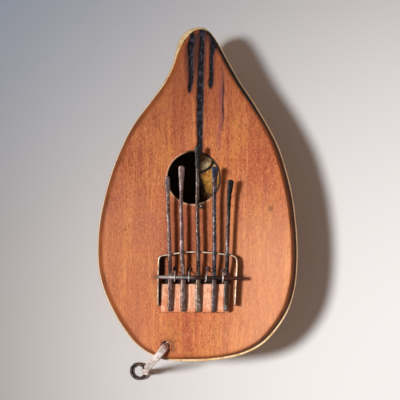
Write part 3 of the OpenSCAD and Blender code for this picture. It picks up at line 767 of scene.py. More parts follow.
def tongue(i):
    xs, y0, y1, w_tip, w_tail, rise = TONGUES[i]
    p, z_tip = PIVOT_Y[i], TOP + rise
    m = PIVOT_Z + 0.35 * (z_tip - PIVOT_Z)
    # [y, height of the middle, width, thickness]
    R = np.array([[y0, TAIL_Z, w_tail * 0.62, 1.1], [y0 + 0.5, TAIL_Z, w_tail * 0.86, 1.6], [y0 + 1.5, TAIL_Z, w_tail * 0.97, 1.95],
                  [y0 + 4, TAIL_Z, w_tail, 1.95], [-86, TAIL_Z, w_tail * 0.95, 1.95], [-77, TAIL_Z, w_tail * 0.5 + 1.9, 2.0],
                  [-71, TAIL_Z, 3.8, 2.0], [-67.6, TAIL_Z + 0.08, 3.7, 2.0], [-64, TAIL_Z + (PIVOT_Z - TAIL_Z) * 0.3, 3.6, 2.15],
                  [p - 7.5, TAIL_Z + (PIVOT_Z - TAIL_Z) * 0.82, 3.6, 2.15], [p - 4.2, PIVOT_Z, 3.55, 2.15], [p, PIVOT_Z, 3.5, 2.15],
                  [p + 8, PIVOT_Z + 0.1, 3.5, 2.2], [(p + y1) / 2 - 8, PIVOT_Z + 0.3, 3.3, 2.2], [y1 - 30, PIVOT_Z + 0.6, 3.15, 2.15],
                  [y1 - 20, m, 3.25, 2.05], [y1 - 12, m + (z_tip - m) * 0.35, 3.3 + (w_tip - 3.2) * 0.42, 1.8],
                  [y1 - 6, m + (z_tip - m) * 0.7, 3.2 + (w_tip - 3.2) * 0.92, 1.45], [y1 - 2.6, m + (z_tip - m) * 0.9, w_tip, 1.25],
                  [y1 - 1.2, z_tip - 0.15, w_tip * 0.9, 1.15], [y1 - 0.4, z_tip - 0.05, w_tip * 0.66, 1.0], [y1, z_tip, w_tip * 0.3, 0.6]])
    seed = 200 + 37 * i
    ys = np.concatenate([y0 + np.array([0, 0.15, 0.35, 0.6, 0.95]), np.arange(y0 + 1.4, y1 - 3.2, 0.72), y1 - np.array([2.9, 2.3, 1.8, 1.35, 0.95, 0.62, 0.36, 0.16, 0.0])])
    k = 20
    z, w, h = (np.interp(ys, R[:, 0], R[:, c]) for c in (1, 2, 3))
    # soften the joins between the stations
    ker = np.array([1, 2, 3, 4, 3, 2, 1], float)
    ker /= ker.sum()
    inner = slice(10, -12)
    z_s = np.convolve(np.pad(z, 3, "edge"), ker, "valid")
    z[inner] = z_s[inner]
    x = np.interp(ys, [y0, -70, p, -5, y1], xs)
    x_s = np.convolve(np.pad(x, 9, "edge"), np.ones(19) / 19, "valid")
    x = np.where((ys > y0 + 7) & (ys < y1 - 7), x_s, x)
    at_bridge = np.exp(-(((ys - p) / 5) ** 2)) + np.exp(-(((ys + 70.3) / 4) ** 2))
    free = 1 - 0.8 * np.clip(at_bridge, 0, 1)
    x = x + 0.16 * line_noise(ys, 14, seed) * free
    w = w * (1 + 0.055 * line_noise(ys, 5.2, seed + 1) + 0.03 * line_noise(ys, 1.9, seed + 2))
    h = h * (1 + 0.05 * line_noise(ys, 6.1, seed + 3) * free)
    power = np.interp(ys, [y0, -75, -50, y1 - 20, y1], [4.0, 3.4, 3.0, 3.2, 3.4])
    n = len(ys)
    prof, rim = np.zeros((n, k, 2)), np.zeros((n, k))
    g = (np.arange(k) + 0.5) * 2 * math.pi / k
    for r in range(n):
        c, s = np.cos(g), np.sin(g)
        px = np.sign(c) * np.abs(c) ** (2 / power[r])
        pz = np.sign(s) * np.abs(s) ** (2 / power[r])
        prof[r, :, 0] = px * w[r] / 2
        prof[r, :, 1] = pz * h[r] / 2
        rim[r] = np.clip(np.abs(px) ** 5 * np.clip(pz * 1.4, 0, 1), 0, 1)
    # hammer marks: shallow facets on the faces, most on the flattened ends
    pts = np.stack([prof[..., 0].ravel() + 40 * i, np.repeat(ys, k), np.sign(prof[..., 1].ravel()) * 50], 1)
    blows = np.maximum(noise3(pts, (2.6, 3.4, 9), seed + 5), noise3(pts, (3.3, 2.7, 9), seed + 6)).reshape(n, k)
    fine_n = fbm(pts, (0.9, 1.6, 2), 2, seed + 8).reshape(n, k)
    flatness = np.interp(ys, [y0, -86, -72, -60, y1 - 25, y1 - 12, y1], [1, 1, 0.55, 0.45, 0.45, 1, 1])[:, None]
    thin = np.clip((h / 2)[:, None], 0.3, 1.2)
    prof[..., 1] += np.sign(prof[..., 1]) * (-0.14 * blows * flatness + 0.035 * fine_n) * thin * np.abs(prof[..., 1]) / (h / 2)[:, None] * free[:, None]
    prof[..., 0] += np.sign(prof[..., 0]) * 0.05 * fine_n * np.abs(prof[..., 0]) / (w / 2)[:, None]
    P = np.stack([x, ys, z], 1)
    side = np.tile([1.0, 0, 0], (n, 1))
    obj = strand(f"tongue_{i + 1}", P, side, prof, {"worn": rim, "end": np.repeat(smooth(y1 - (26, 26, 26, 11, 40)[i], y1 - (8, 8, 14, 6, 18)[i], ys), k).reshape(n, k)}, sharp=50)
    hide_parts(f"tongue_{i + 1}_tail", f"tongue_{i + 1}_blade")
    return obj, (float(np.interp(p, ys, x)), p)


tongues = [tongue(i) for i in range(5)]

# ============================================================ the bridge strip, on its edge
HOOP_PTS = [[-33, -94.5], [-33, -84], [-32.9, -72], [-32.7, -60], [-32.4, -55.2], [-30.6, -52.3],
            [-24, -51.1], [-15, -49.6], [-6, -48.8], [7, -49.2], [16, -50], [24, -51],
            [30.4, -52.2], [33.1, -55], [33.6, -60], [33, -72], [32.3, -84], [31.8, -94.5]]


def hoop():
    P2 = by_length(catmull(HOOP_PTS, 14), 300)
    n = len(P2)
    s = np.concatenate([[0], np.cumsum(np.linalg.norm(np.diff(P2, axis=0), axis=1))])
    tang = (s < 4.0) | (s > s[-1] - 4.0)
    low = np.where(tang, TOP - 3.6, TOP + 0.02)
    ends = np.minimum(s, s[-1] - s)
    high = HOOP - 0.06 + 0.05 * line_noise(s, 12, 301) + 0.03 * line_noise(s, 3, 302) - 0.9 * (1 - smooth(0, 1.4, ends)) ** 2
    half = 0.70 + 0.035 * line_noise(s, 6, 303)
    P = np.concatenate([P2, np.zeros((n, 1))], 1)
    ring_prof, top = [], []
    for r in range(n):
        h0, h1, a = low[r], high[r], half[r]
        e = 0.28 + 0.1 * math.sin(s[r] * 0.7)
        pts = [(-a, h0), (-a, (h0 + h1) / 2), (-a, h1 - 1.6), (-a, h1 - e * 1.6), (-a * 0.86, h1 - e * 0.55), (-a * 0.5, h1 - 0.05), (0, h1),
               (a * 0.5, h1 - 0.04), (a * 0.86, h1 - e * 0.5), (a, h1 - e * 1.5), (a, h1 - 1.6), (a, (h0 + h1) / 2), (a, h0), (0, h0)]
        ring_prof.append([(u, v) for u, v in pts])
        x0, y0 = P2[r]
        # painted highlight and wear on the top edge: brightest along the top run, dimmer down the legs, dimmest at the
        # lower left
        wear_and_highlight_level = float(np.interp(y0, [-95, -84, -72, -60, -54, -50], [0.48, 0.50, 0.50, 0.62, 0.95, 1.0])) if x0 < 0 else float(np.interp(y0, [-95, -70, -60, -50], [0.75, 0.8, 0.95, 1.0]))
        wear_and_highlight_level *= 0.86 + 0.14 * math.sin(s[r] * 0.55 + 1.0)
        top.append([0, 0, 0.0, 0.0, 0.25 * wear_and_highlight_level, 0.9 * wear_and_highlight_level, wear_and_highlight_level, 0.9 * wear_and_highlight_level, 0.25 * wear_and_highlight_level, 0.0, 0.0, 0, 0, 0])
    prof = np.array(ring_prof)
    bow = 0.05 * line_noise(s, 5, 305)
    prof[..., 0] += bow[:, None] * (prof[..., 1] - TOP)[:, :] / 8
    # the width lies across the path, and the thickness direction is up
    t = unit(np.gradient(P, axis=0))
    side = np.stack([-t[:, 1], t[:, 0], np.zeros(n)], 1)
    b = unit(side)
    V = P[:, None] + b[:, None] * prof[..., :1] + np.array([0, 0, 1.0]) * prof[..., 1:]
    k = prof.shape[1]
    verts = V.reshape(-1, 3)
    faces = grid(n, k).tolist() + [list(range(k - 1, -1, -1)), [(n - 1) * k + j for j in range(k)]]
    obj = make("bridge_strip", verts, faces, {"worn": np.array(top, float).ravel()}, sharp=40)
    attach(obj, "instrument")
    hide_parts("bridge_hoop")
    return obj


strip = hoop()

# ============================================================ the pressure bar
BAR_L, BAR_R = np.array([-36.2, -69.7]), np.array([38.8, -70.9])
BAR_D = 3.2
BAR_Z = HOOP + 0.1 + BAR_D / 2


def bar():
    L = float(np.linalg.norm(BAR_R - BAR_L))
    u = np.concatenate([[0, 0.12, 0.3, 0.6, 1.0, 1.5, 2.0, 2.8], np.arange(3.6, L - 1.2, 0.6), [L - 0.9, L - 0.5, L - 0.22, L - 0.06, L]])
    rad = np.interp(u, [0, 0.12, 0.5, 2, 6, L - 1.0, L - 0.5, L - 0.15, L], [0.35, 0.55, 0.9, 1.2, 1.58, 1.58, 1.4, 1.05, 0.7])
    k = 24
    base = rounded(k, 2.25) * 2
    n = len(u)
    pts = np.stack([np.repeat(u, k), np.tile(np.cos(np.arange(k) * 2 * math.pi / k) * 3, n), np.tile(np.sin(np.arange(k) * 2 * math.pi / k) * 3, n)], 1)
    wob = (1 + 0.03 * fbm(pts, (3.5, 2.4, 2.4), 3, 401) - 0.02).reshape(n, k)
    prof = base[None] * (rad[:, None] * wob)[..., None]
    d = (BAR_R - BAR_L) / L
    P = np.concatenate([BAR_L + u[:, None] * d, np.full((n, 1), BAR_Z)], 1)
    P[:, 2] += 0.04 * line_noise(u, 16, 402)
    P[:, 1] += 0.06 * line_noise(u, 18, 403)
    obj = strand("pressure_rod", P, np.tile([0, 1.0, 0], (n, 1)), prof, {"rust": np.repeat(1 - smooth(3, 13, u), k).reshape(n, k), "up": np.tile((base[:, 1] > 0.6).astype(float), (n, 1))})
    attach(obj, "instrument")
    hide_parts("pressure_bar")
    return obj


rod = bar()


# ============================================================ the tie wires
def tie(i):
    ax, ay, bx, by = TIES[i]
    x = (ax + bx) / 2
    d = BAR_R - BAR_L
    y = BAR_L[1] + (x - BAR_L[0]) * d[1] / d[0]
    r = BAR_D / 2 + 0.6 + 0.08
    under = RIM - 0.9
    over = [[x, y + r * math.cos(math.radians(g)), BAR_Z + r * math.sin(math.radians(g))] for g in range(190, -34, -12)]
    # it comes up beside the bar, over it and down through the board, and runs back underneath to where it started
    P = ([[ax, ay, under + 0.6], [ax, ay, TOP + 0.4], [(2 * ax + x) / 3, (ay + 2 * (y - r)) / 3 - 0.1, BAR_Z - 2.6]] + over
         + [[(2 * bx + x) / 3, (by + 2 * (y + r)) / 3 + 0.1, BAR_Z - 2.6], [bx, by, TOP + 0.4], [bx, by, under + 0.6],
            [bx, by - 0.9, under], [(ax + bx) / 2, (ay + by) / 2, under - 0.1], [ax, ay + 0.9, under]])
    Q = by_length(catmull(P, 8, closed=True), 230, closed=True)
    k, n = 12, 230
    s = np.arange(n)
    base = rounded(k, 2.0) * 1.16
    wob = 1 + 0.05 * line_noise(s, 7, 500 + i)
    prof = np.tile(base, (n, 1, 1)) * wob[:, None, None]
    grime_and_shade = 1 - smooth(TOP + 0.5, BAR_Z - 0.5, Q[:, 2])
    obj = strand(f"tie_{i + 1}", Q, np.tile([1.0, 0.02, 0], (n, 1)), prof, {"grime_and_shade": np.repeat(grime_and_shade, k).reshape(n, k)}, closed=True)
    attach(obj, "instrument")
    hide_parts(f"tie_wire_{i + 1}")
    return obj


ties = [tie(i) for i in range(4)]


# the twisted-off ends of the tie wires, standing beside their upper holes
def curl(i):
    bx, by = TIES[i][2], TIES[i][3]
    turn = (0.4, 2.4, 1.2, -0.4)[i]
    cx, cy = bx - 0.1, by + (0.5, 0.4, 0.8, -0.7)[i]
    P = [[bx, by, TOP - 1.4], [bx + 0.05, by + 0.1, TOP + 0.3]]
    for k in range(15):
        g = turn + k * 0.56
        r = 1.45 - 0.25 * k / 14
        P.append([cx + r * math.cos(g), cy + r * math.sin(g), TOP + 0.95 + 0.085 * k + 0.35 * math.sin(g + 1.0)])
    Q = by_length(catmull(P, 8), 120)
    n, k = 120, 10
    base = rounded(k, 2.0) * 1.0
    taper = 1 - 0.35 * smooth(105, 119, np.arange(n))
    prof = np.tile(base, (n, 1, 1)) * taper[:, None, None]
    obj = strand(f"tie_end_{i + 1}", Q, np.tile([0.2, 0.1, 1.0], (n, 1)), prof, {"grime_and_shade": np.full((n, k), 0.97)})
    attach(obj, "instrument")
    return obj


curls = [curl(i) for i in range(4)]


# ============================================================ the backrest
def backrest():
    lo, hi = (np.array(v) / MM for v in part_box("backrest"))
    nx, ny = 96, 44
    u, v = np.meshgrid(np.linspace(0, 1, nx), np.linspace(0, 1, ny), indexing="ij")
    y = lo[1] + (hi[1] - lo[1]) * v
    left = np.full_like(y, lo[0])
    right = 26.7 + (28.6 - 26.7) * v
    ed = np.stack([u.ravel() * 50, y.ravel(), np.zeros(u.size)], 1)
    chew_l = 0.18 * line_noise(y[0], 3.3, 601)
    chew_r = 0.20 * line_noise(y[0], 2.7, 602)
    x = left + chew_l[None] * (1 - u) + (right - left + chew_r[None]) * u
    chew_b = 0.22 * line_noise(x[:, 0], 2.4, 603) + 0.16 * line_noise(x[:, 0], 7, 604)
    chew_f = 0.08 * line_noise(x[:, 0], 3.0, 605)
    y = y + chew_b[:, None] * (1 - v) ** 6 + chew_f[:, None] * v ** 6
    z = TOP + 3.4 + (5.4 - 3.4) * (1 - v)
    P = np.stack([x.ravel(), y.ravel(), np.zeros(x.size)], 1)
    saw = 0.05 * np.abs(noise3(P, (60, 0.75, 9), 611)) + 0.04 * fbm(P, (2.0, 9, 3), 2, 612) + 0.05
    z = z - saw.reshape(z.shape)
    edge = np.minimum.reduce([u * 58, (1 - u) * 58, v * 23.6, (1 - v) * 23.6])
    z = z - 0.45 * (1 - smooth(0, 0.9, edge)) * (0.8 + 0.5 * fbm(P, 3, 2, 613).reshape(z.shape))
    top = np.stack([x, y, z], 2)
    # the skirt: from the top's border down to the board
    idx = [(i, 0) for i in range(nx)] + [(nx - 1, j) for j in range(1, ny)] + [(i, ny - 1) for i in range(nx - 2, -1, -1)] + [(0, j) for j in range(ny - 2, 0, -1)]
    border = np.array([top[i, j] for i, j in idx])
    b_index = np.array([i * ny + j for i, j in idx])
    levels = [0.62, 0.28, 0.0]
    verts = [top.reshape(-1, 3)]
    faces = grid(nx, ny, closed_cols=False).tolist()
    prev = b_index
    start = nx * ny
    m = len(idx)
    for f in levels:
        ring = border.copy()
        ring[:, 2] = TOP + (border[:, 2] - TOP) * f + (0.02 if f == 0 else 0)
        verts.append(ring)
        cur = start + np.arange(m)
        faces += [[int(prev[j]), int(prev[(j + 1) % m]), int(cur[(j + 1) % m]), int(cur[j])] for j in range(m)]
        prev, start = cur, start + m
    faces.append([int(v_) for v_ in prev])
    obj = make("backrest_block", np.concatenate(verts), faces, sharp=40)
    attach(obj, "instrument")
    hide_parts("backrest")
    return obj


block = backrest()


# ============================================================ the tack
def tack():
    n, k = 16, 36
    prof = [(0.02, -3.8), (0.15, -3.6), (0.45, -2.8), (0.5, -1.0), (0.5, 0.0), (1.22, 0.03), (1.3, 0.1), (1.3, 0.22), (1.24, 0.42), (1.1, 0.62),
            (0.92, 0.78), (0.7, 0.9), (0.45, 0.98), (0.2, 1.02), (0.02, 1.03)]
    a = np.linspace(0, 2 * math.pi, k, endpoint=False)
    rings = []
    for j, (r, z) in enumerate(prof):
        dent = 1 + 0.035 * line_noise(a * 1.7 + j * 0.4, 1, 701) * (z > 0)
        rings.append(np.stack([TACK[0] + r * dent * np.cos(a), TACK[1] + r * dent * np.sin(a), np.full(k, TOP + z) + 0.03 * line_noise(a * 2, 1, 703) * (0.1 < z < 1)], 1))
    V = np.stack(rings)
    faces = grid(len(prof), k).tolist() + [list(range(k - 1, -1, -1)), [(len(prof) - 1) * k + j for j in range(k)]]
    obj = make("hole_tack_head", V.reshape(-1, 3), faces)
    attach(obj, "instrument")
    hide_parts("hole_tack")
    return obj


pin = tack()


# ============================================================ the knot under the board
def knot():
    lo, hi = (np.array(v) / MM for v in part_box("thong_knot"))
    c = (lo + hi) / 2
    n = 260
    t = np.linspace(0, 2 * math.pi, n, endpoint=False)
    P = np.stack([(np.sin(t) + 2 * np.sin(2 * t)) * 1.12, (np.cos(t) - 2 * np.cos(2 * t)) * 1.12, -np.sin(3 * t) * 1.35], 1) + c
    k = 18
    base = rounded(k, 2.8)
    w = 3.6 * (1 + 0.06 * line_noise(np.arange(n), 21, 801))
    prof = np.stack([base[None, :, 0] * w[:, None], base[None, :, 1] * 1.7 * np.ones((n, 1))], 2)
    prof[..., 1] += 0.06 * line_noise(np.arange(n), 9, 803)[:, None]
    obj = strand("rawhide_knot", P, np.tile([0.05, 0.1, 1.0], (n, 1)), prof, {"across": np.tile(base[:, 0] * 2, (n, 1)), "along": np.repeat(np.arange(n) * 0.2, k).reshape(n, k)}, closed=True)
    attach(obj, "instrument")
    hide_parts("thong_knot")
    return obj


lump = knot()

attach(board, "instrument")
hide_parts("soundboard")
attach(shell, "instrument")
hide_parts("gourd_shell")

# ============================================================ paint
# ---- the soundboard's wood
M = Paint("board_wood", Specular_IOR_Level=0.28)
M_y, M_x = M.axis(1), M.axis(0)
broad = M.noise((15, 8, 13), 3, 0.55, 0.5)
wide = M.noise((82, 5.5, 30), 3, 0.55, 0.6, turn=(0, 0, 0.05))
bands = M.noise((250, 13, 60), 4, 0.6, 0.35, turn=(0, 0, -0.03))
lines = M.noise((1250, 75, 200), 3, 0.6, 0.3)
fleck = M.noise((760, 250, 400), 3, 0.6, 0.8, turn=(0, 0, 0.16))
speck = M.noise((900, 560, 400), 3, 0.65, 0.5)
patch = M.noise((48, 30, 40), 3, 0.6, 0.8)
wood = M.mix(M.span(broad, 0.30, 0.70), rgb(204, 108, 60), rgb(222, 130, 74))
wood = M.mix(M.span(wide, 0.40, 0.62, 0.0, 0.62), wood, rgb(182, 92, 58))
wood = M.mix(M.span(wide, 0.50, 0.34, 0.0, 0.55), wood, rgb(234, 148, 78))
wood = M.mix(M.span(bands, 0.48, 0.66, 0.0, 0.55), wood, rgb(172, 86, 56))
wood = M.mix(M.span(bands, 0.47, 0.32, 0.0, 0.50), wood, rgb(238, 158, 98))
# reddish and yellowish smudges, most to the left
wood = M.mix(M.math("MULTIPLY", M.span(patch, 0.52, 0.72, 0.0, 0.55), M.span(M_x, 0.03, -0.06, 0.35, 1.0)), wood, rgb(160, 72, 66))
wood = M.mix(M.span(patch, 0.45, 0.30, 0.0, 0.50), wood, rgb(214, 140, 62))
wood = M.mix(M.span(lines, 0.46, 0.64, 0.0, 0.45), wood, rgb(158, 78, 48))
wood = M.mix(M.span(fleck, 0.50, 0.64, 0.0, 0.62), wood, rgb(140, 62, 38))
wood = M.mix(M.span(speck, 0.48, 0.36, 0.0, 0.48), wood, rgb(246, 158, 100))
# painted sheen and light: the wood is paler to the lower right
painted_sheen_lower_right = M.math("MULTIPLY", M.span(M_x, -0.005, 0.062), M.span(M_y, 0.03, -0.06))
wood = M.mix(M.math("MULTIPLY", painted_sheen_lower_right, 0.42), wood, rgb(252, 184, 142))
lit_left = M.math("MULTIPLY", M.span(M_x, -0.006, -0.045), M.span(M_y, 0.030, -0.030))
wood = M.mix(M.math("MULTIPLY", lit_left, 0.24), wood, rgb(255, 172, 120))
# painted shade: the board under the tongues is darker
painted_shade_under_tongues = M.math("MULTIPLY", M.span(M.math("ABSOLUTE", M_x), 0.030, 0.024), M.math("MULTIPLY", M.span(M_y, 0.012, -0.010), M.span(M_y, -0.080, -0.074)))
wood = M.mix(M.math("MULTIPLY", painted_shade_under_tongues, 0.30), wood, rgb(112, 54, 34))
# the toasted neck, with painted shade that darkens the board towards it, and the stain that runs from it
toast_and_shade_near_neck = M.span(M_y, 0.030, 0.125)
neck_side = M.math("ABSOLUTE", M.math("SUBTRACT", M_x, 0.004))
between = M.math("MULTIPLY", M.span(M_y, 0.080, 0.118), M.span(M.math("ABSOLUTE", M.math("ADD", M_x, 0.0015)), 0.011, 0.006))
between = M.math("MAXIMUM", between, M.math("MULTIPLY", M.span(M_y, 0.112, 0.136), M.span(neck_side, 0.016, 0.010, 0.0, 0.8)))
wood = M.mix(M.math("MULTIPLY", toast_and_shade_near_neck, 0.56), wood, rgb(142, 60, 30))
wood = M.mix(M.math("MULTIPLY", between, 0.88), wood, rgb(66, 34, 26))
toast = M.math("MULTIPLY", M.attr("toast"), M.span(M.noise((300, 60, 100), 2), 0.25, 0.7, 0.45, 1.0))
wood = M.mix(M.math("MULTIPLY", toast, 0.78), wood, rgb(92, 38, 34))
wood = M.mix(M.math("MULTIPLY", M.attr("stain"), M.span(M.noise((240, 40, 100), 3), 0.3, 0.7, 0.35, 0.85)), wood, rgb(146, 72, 82))
wood = M.mix(M.math("MULTIPLY", M.attr("streak"), 0.92), wood, rgb(58, 26, 38))
# the char in the burnt lines, with painted glints of bluish grey
char_and_painted_glints = M.mix(M.span(M.noise((760, 210, 300), 3, 0.6, 0.4), 0.46, 0.66), rgb(9, 6, 8), rgb(70, 66, 80))
# the bevel's dark stain, darkened further towards the right by painted shade
bevel_stain_and_shade = M.mix(M.span(M.noise((60, 60, 60), 3), 0.35, 0.7), rgb(176, 90, 32), rgb(136, 66, 24))
bevel_stain_and_shade = M.mix(M.span(lines, 0.46, 0.66, 0.0, 0.4), bevel_stain_and_shade, rgb(92, 42, 16))
bevel_stain_and_shade = M.mix(M.span(M_x, -0.02, 0.05, 0.0, 0.45), bevel_stain_and_shade, rgb(70, 32, 14))
bevel_stain_and_shade = M.mix(M.span(M_x, -0.015, -0.045, 0.0, 0.32), bevel_stain_and_shade, rgb(98, 46, 14))
neck_right = M.math("MULTIPLY", M.span(M_x, 0.002, 0.012), M.span(M_y, 0.030, 0.075))
wood = M.mix(M.math("MULTIPLY", M.attr("bevel"), M.math("SUBTRACT", 0.92, M.math("MULTIPLY", neck_right, 0.72))), wood, bevel_stain_and_shade)
# painted shade: a near-black line along the bevel's outer edge on the right and at the neck's right side
edge_shade_line = M.math("MULTIPLY", M.span(M.attr("lip"), 0.46, 0.66), M.span(M_x, 0.0, 0.05, 0.0, 0.75))
edge_shade_line = M.math("MAXIMUM", edge_shade_line, M.math("MULTIPLY", M.span(M.attr("lip"), 0.40, 0.58), neck_right))
wood = M.mix(edge_shade_line, wood, M.mix(neck_right, rgb(58, 26, 13), rgb(22, 10, 7)))
wood = M.mix(M.attr("char"), wood, char_and_painted_glints)
# painted highlight: the hole's left edge is pale
wood = M.mix(M.math("MULTIPLY", M.attr("brightened"), 0.8), wood, rgb(255, 206, 164))
# knots, grime and painted shade darken the wood
wood = M.mix(M.attr("grime_and_shade"), wood, rgb(28, 14, 10))
wood = M.mix(M.math("MULTIPLY", M.attr("scorch"), 0.97), wood, rgb(16, 8, 6))
M.set(Base_Color=wood, Roughness=M.math("ADD", M.math("MULTIPLY", M.attr("char"), 0.22), M.span(fleck, 0.3, 0.7, 0.52, 0.68)))
relief = M.bump(lines, 0.35, 0.00025)
relief = M.bump(fleck, 0.35, 0.0003, relief)
relief = M.bump(M.noise((420, 90, 200), 3), 0.25, 0.0006, relief)
M.set(Normal=relief)
M.on(board)

# ---- the gourd: skin, cut rim, pithy inside
M = Paint("gourd_skin")
tan = M.noise((26, 18, 26), 4, 0.55, 0.6)
mott = M.noise((95, 70, 95), 4, 0.65, 0.8)
dust = M.noise((700, 500, 700), 2, 0.6)
skin = M.mix(M.span(tan, 0.30, 0.70), rgb(160, 98, 46), rgb(202, 146, 82))
skin = M.mix(M.span(mott, 0.52, 0.70, 0.0, 0.60), skin, rgb(112, 62, 28))
skin = M.mix(M.span(mott, 0.28, 0.42, 0.40, 0.0), skin, rgb(222, 176, 112))
skin = M.mix(M.span(M.cells((150, 120, 150)), 0.05, 0.16, 0.55, 0.0), skin, rgb(84, 48, 26))
skin = M.mix(M.span(dust, 0.55, 0.72, 0.0, 0.25), skin, rgb(94, 54, 28))
skin = M.mix(M.math("MULTIPLY", M.attr("worn"), 0.7), skin, rgb(206, 168, 118))
pulp = M.noise((260, 90, 260), 4, 0.65, 0.5)
G_x, G_y = M.axis(0), M.axis(1)
inside = M.mix(M.span(pulp, 0.36, 0.64), rgb(190, 116, 38), rgb(244, 176, 84))
bleached_and_lit = M.mix(M.span(pulp, 0.36, 0.64), rgb(214, 162, 108), rgb(255, 226, 172))
bleached_and_lit = M.mix(M.span(M.noise((210, 210, 210), 3), 0.52, 0.66, 0.0, 0.75), bleached_and_lit, rgb(150, 96, 58))
# above the crack the inside is bleached, with painted light making it paler still
above = M.math("ADD", M.math("MULTIPLY", G_x, -0.62), G_y)
inside = M.mix(M.span(above, 0.0148, 0.0168), inside, bleached_and_lit)
inside = M.mix(M.span(M.noise((900, 300, 900), 2), 0.52, 0.68, 0.0, 0.6), inside, rgb(120, 66, 28))
# painted shade inside the gourd: all of the left, and a wedge below the crack
wob = M.math("MULTIPLY", M.math("SUBTRACT", M.noise((300, 300, 300), 3), 0.5), 0.0030)
left_of = M.math("ADD", M.math("ADD", M.math("MULTIPLY", G_x, -0.952), M.math("MULTIPLY", G_y, -0.305)), wob)
painted_shade_inside = M.span(left_of, -0.0084, -0.0075)
painted_shade_inside = M.math("MAXIMUM", painted_shade_inside, M.span(M.math("ADD", G_x, wob), 0.0030, 0.0006))
inside = M.mix(M.math("MULTIPLY", painted_shade_inside, 0.97), inside, M.mix(M.span(pulp, 0.4, 0.7), rgb(20, 11, 8), rgb(40, 24, 16)))
ash = M.math("MULTIPLY", M.span(M.math("ADD", G_x, wob), 0.0022, 0.0046), M.span(M.math("ADD", G_y, wob), 0.0026, 0.0002))
inside = M.mix(M.math("MULTIPLY", ash, 0.85), inside, M.mix(M.span(pulp, 0.38, 0.62), rgb(176, 124, 82), rgb(84, 52, 32)))
# painted shade in the crack
inside = M.mix(M.math("MULTIPLY", M.attr("crack"), 0.97), inside, rgb(14, 8, 6))
cut_face = M.mix(M.span(M.noise((420, 420, 420), 3), 0.35, 0.7), rgb(252, 226, 178), rgb(238, 196, 138))
cut_face = M.mix(M.span(M.noise((130, 130, 130), 3), 0.52, 0.68, 0.0, 0.5), cut_face, rgb(196, 138, 80))
# painted shade on the cut rim to the right and at the neck's right side, where the board's edge shades it; painted
# light on its outer edge to the left
shaded = M.math("MULTIPLY", M.span(G_x, 0.030, 0.060), M.span(G_y, -0.108, -0.085))
cut_face = M.mix(M.math("MULTIPLY", shaded, M.span(M.attr("across"), 0.10, 0.17, 0.25, 0.92)), cut_face, rgb(96, 50, 26))
lit = M.math("MULTIPLY", M.span(G_x, -0.012, -0.030), M.span(G_y, 0.100, 0.080))
cut_face = M.mix(M.math("MULTIPLY", lit, M.span(M.attr("across"), 0.18, 0.25, 0.85, 0.0)), cut_face, rgb(255, 248, 230))
cut_face = M.mix(M.math("MULTIPLY", lit, M.span(M.attr("across"), 0.20, 0.28, 0.0, 0.80)), cut_face, rgb(128, 70, 28))
thin = M.math("MULTIPLY", M.span(G_x, 0.002, 0.010), M.span(G_y, 0.060, 0.085))
cut_face = M.mix(M.math("MULTIPLY", thin, M.span(M.attr("across"), 0.08, 0.15, 0.0, 0.95)), cut_face, rgb(24, 12, 8))
both = M.mix(M.attr("inside"), skin, inside)
both = M.mix(M.attr("rim"), both, cut_face)
# painted shade in the crack, over all
both = M.mix(M.math("MULTIPLY", M.attr("crack"), 0.97), both, rgb(14, 8, 6))
M.set(Base_Color=both)
M.set(Roughness=M.math("ADD", M.math("MULTIPLY", M.math("MAXIMUM", M.attr("inside"), M.attr("rim")), 0.42), M.span(mott, 0.3, 0.7, 0.36, 0.48)))
relief = M.bump(mott, 0.25, 0.0008)
relief = M.bump(dust, 0.2, 0.0002, relief)
M.set(Normal=relief)
M.on(shell)

# ---- forged iron
def iron(name, tone, rust, shine, far=None, tail=None):
    """Hammered iron: tone is its two body colours and its scratches, shine its worn corners, far the colour of its flat end."""
    M = Paint(name, Metallic=0.62, Specular_IOR_Level=0.7)
    a = M.noise((240, 130, 240), 4, 0.6, 0.4)
    b = M.noise((900, 500, 900), 3, 0.6)
    c = M.mix(M.span(a, 0.40, 0.60), tone[0], tone[1])
    c = M.mix(M.span(M.noise((150, 60, 150), 3, 0.6, 0.3), 0.50, 0.64, 0.0, 0.80), c, rust)
    c = M.mix(M.span(b, 0.52, 0.68, 0.0, 0.6), c, tone[2])
    # rubbed bright in places along the shaft
    brightened = M.math("MULTIPLY", M.span(M.noise((120, 38, 120), 3, 0.6, 0.5), 0.54, 0.66), M.span(b, 0.36, 0.60, 0.35, 1.0))
    c = M.mix(M.math("MULTIPLY", brightened, 0.75), c, shine)
    if tail:
        c = M.mix(M.math("MULTIPLY", M.span(M.axis(1), -0.066, -0.076), M.span(b, 0.36, 0.60, 0.9, 0.35)), c, tail)
    if far:
        c = M.mix(M.math("MULTIPLY", M.attr("end"), 0.9), c, far)
    edge = M.math("MULTIPLY", M.attr("worn"), M.span(M.noise((300, 110, 300), 3), 0.38, 0.60))
    if far:
        edge = M.math("MULTIPLY", edge, M.math("SUBTRACT", 1.0, M.math("MULTIPLY", M.attr("end"), 0.7)))
    c = M.mix(M.math("MULTIPLY", edge, 0.6), c, shine)
    M.set(Base_Color=c, Roughness=M.span(b, 0.36, 0.66, 0.26, 0.52))
    M.set(Normal=M.bump(b, 0.5, 0.00025, M.bump(a, 0.6, 0.0006)))
    return M


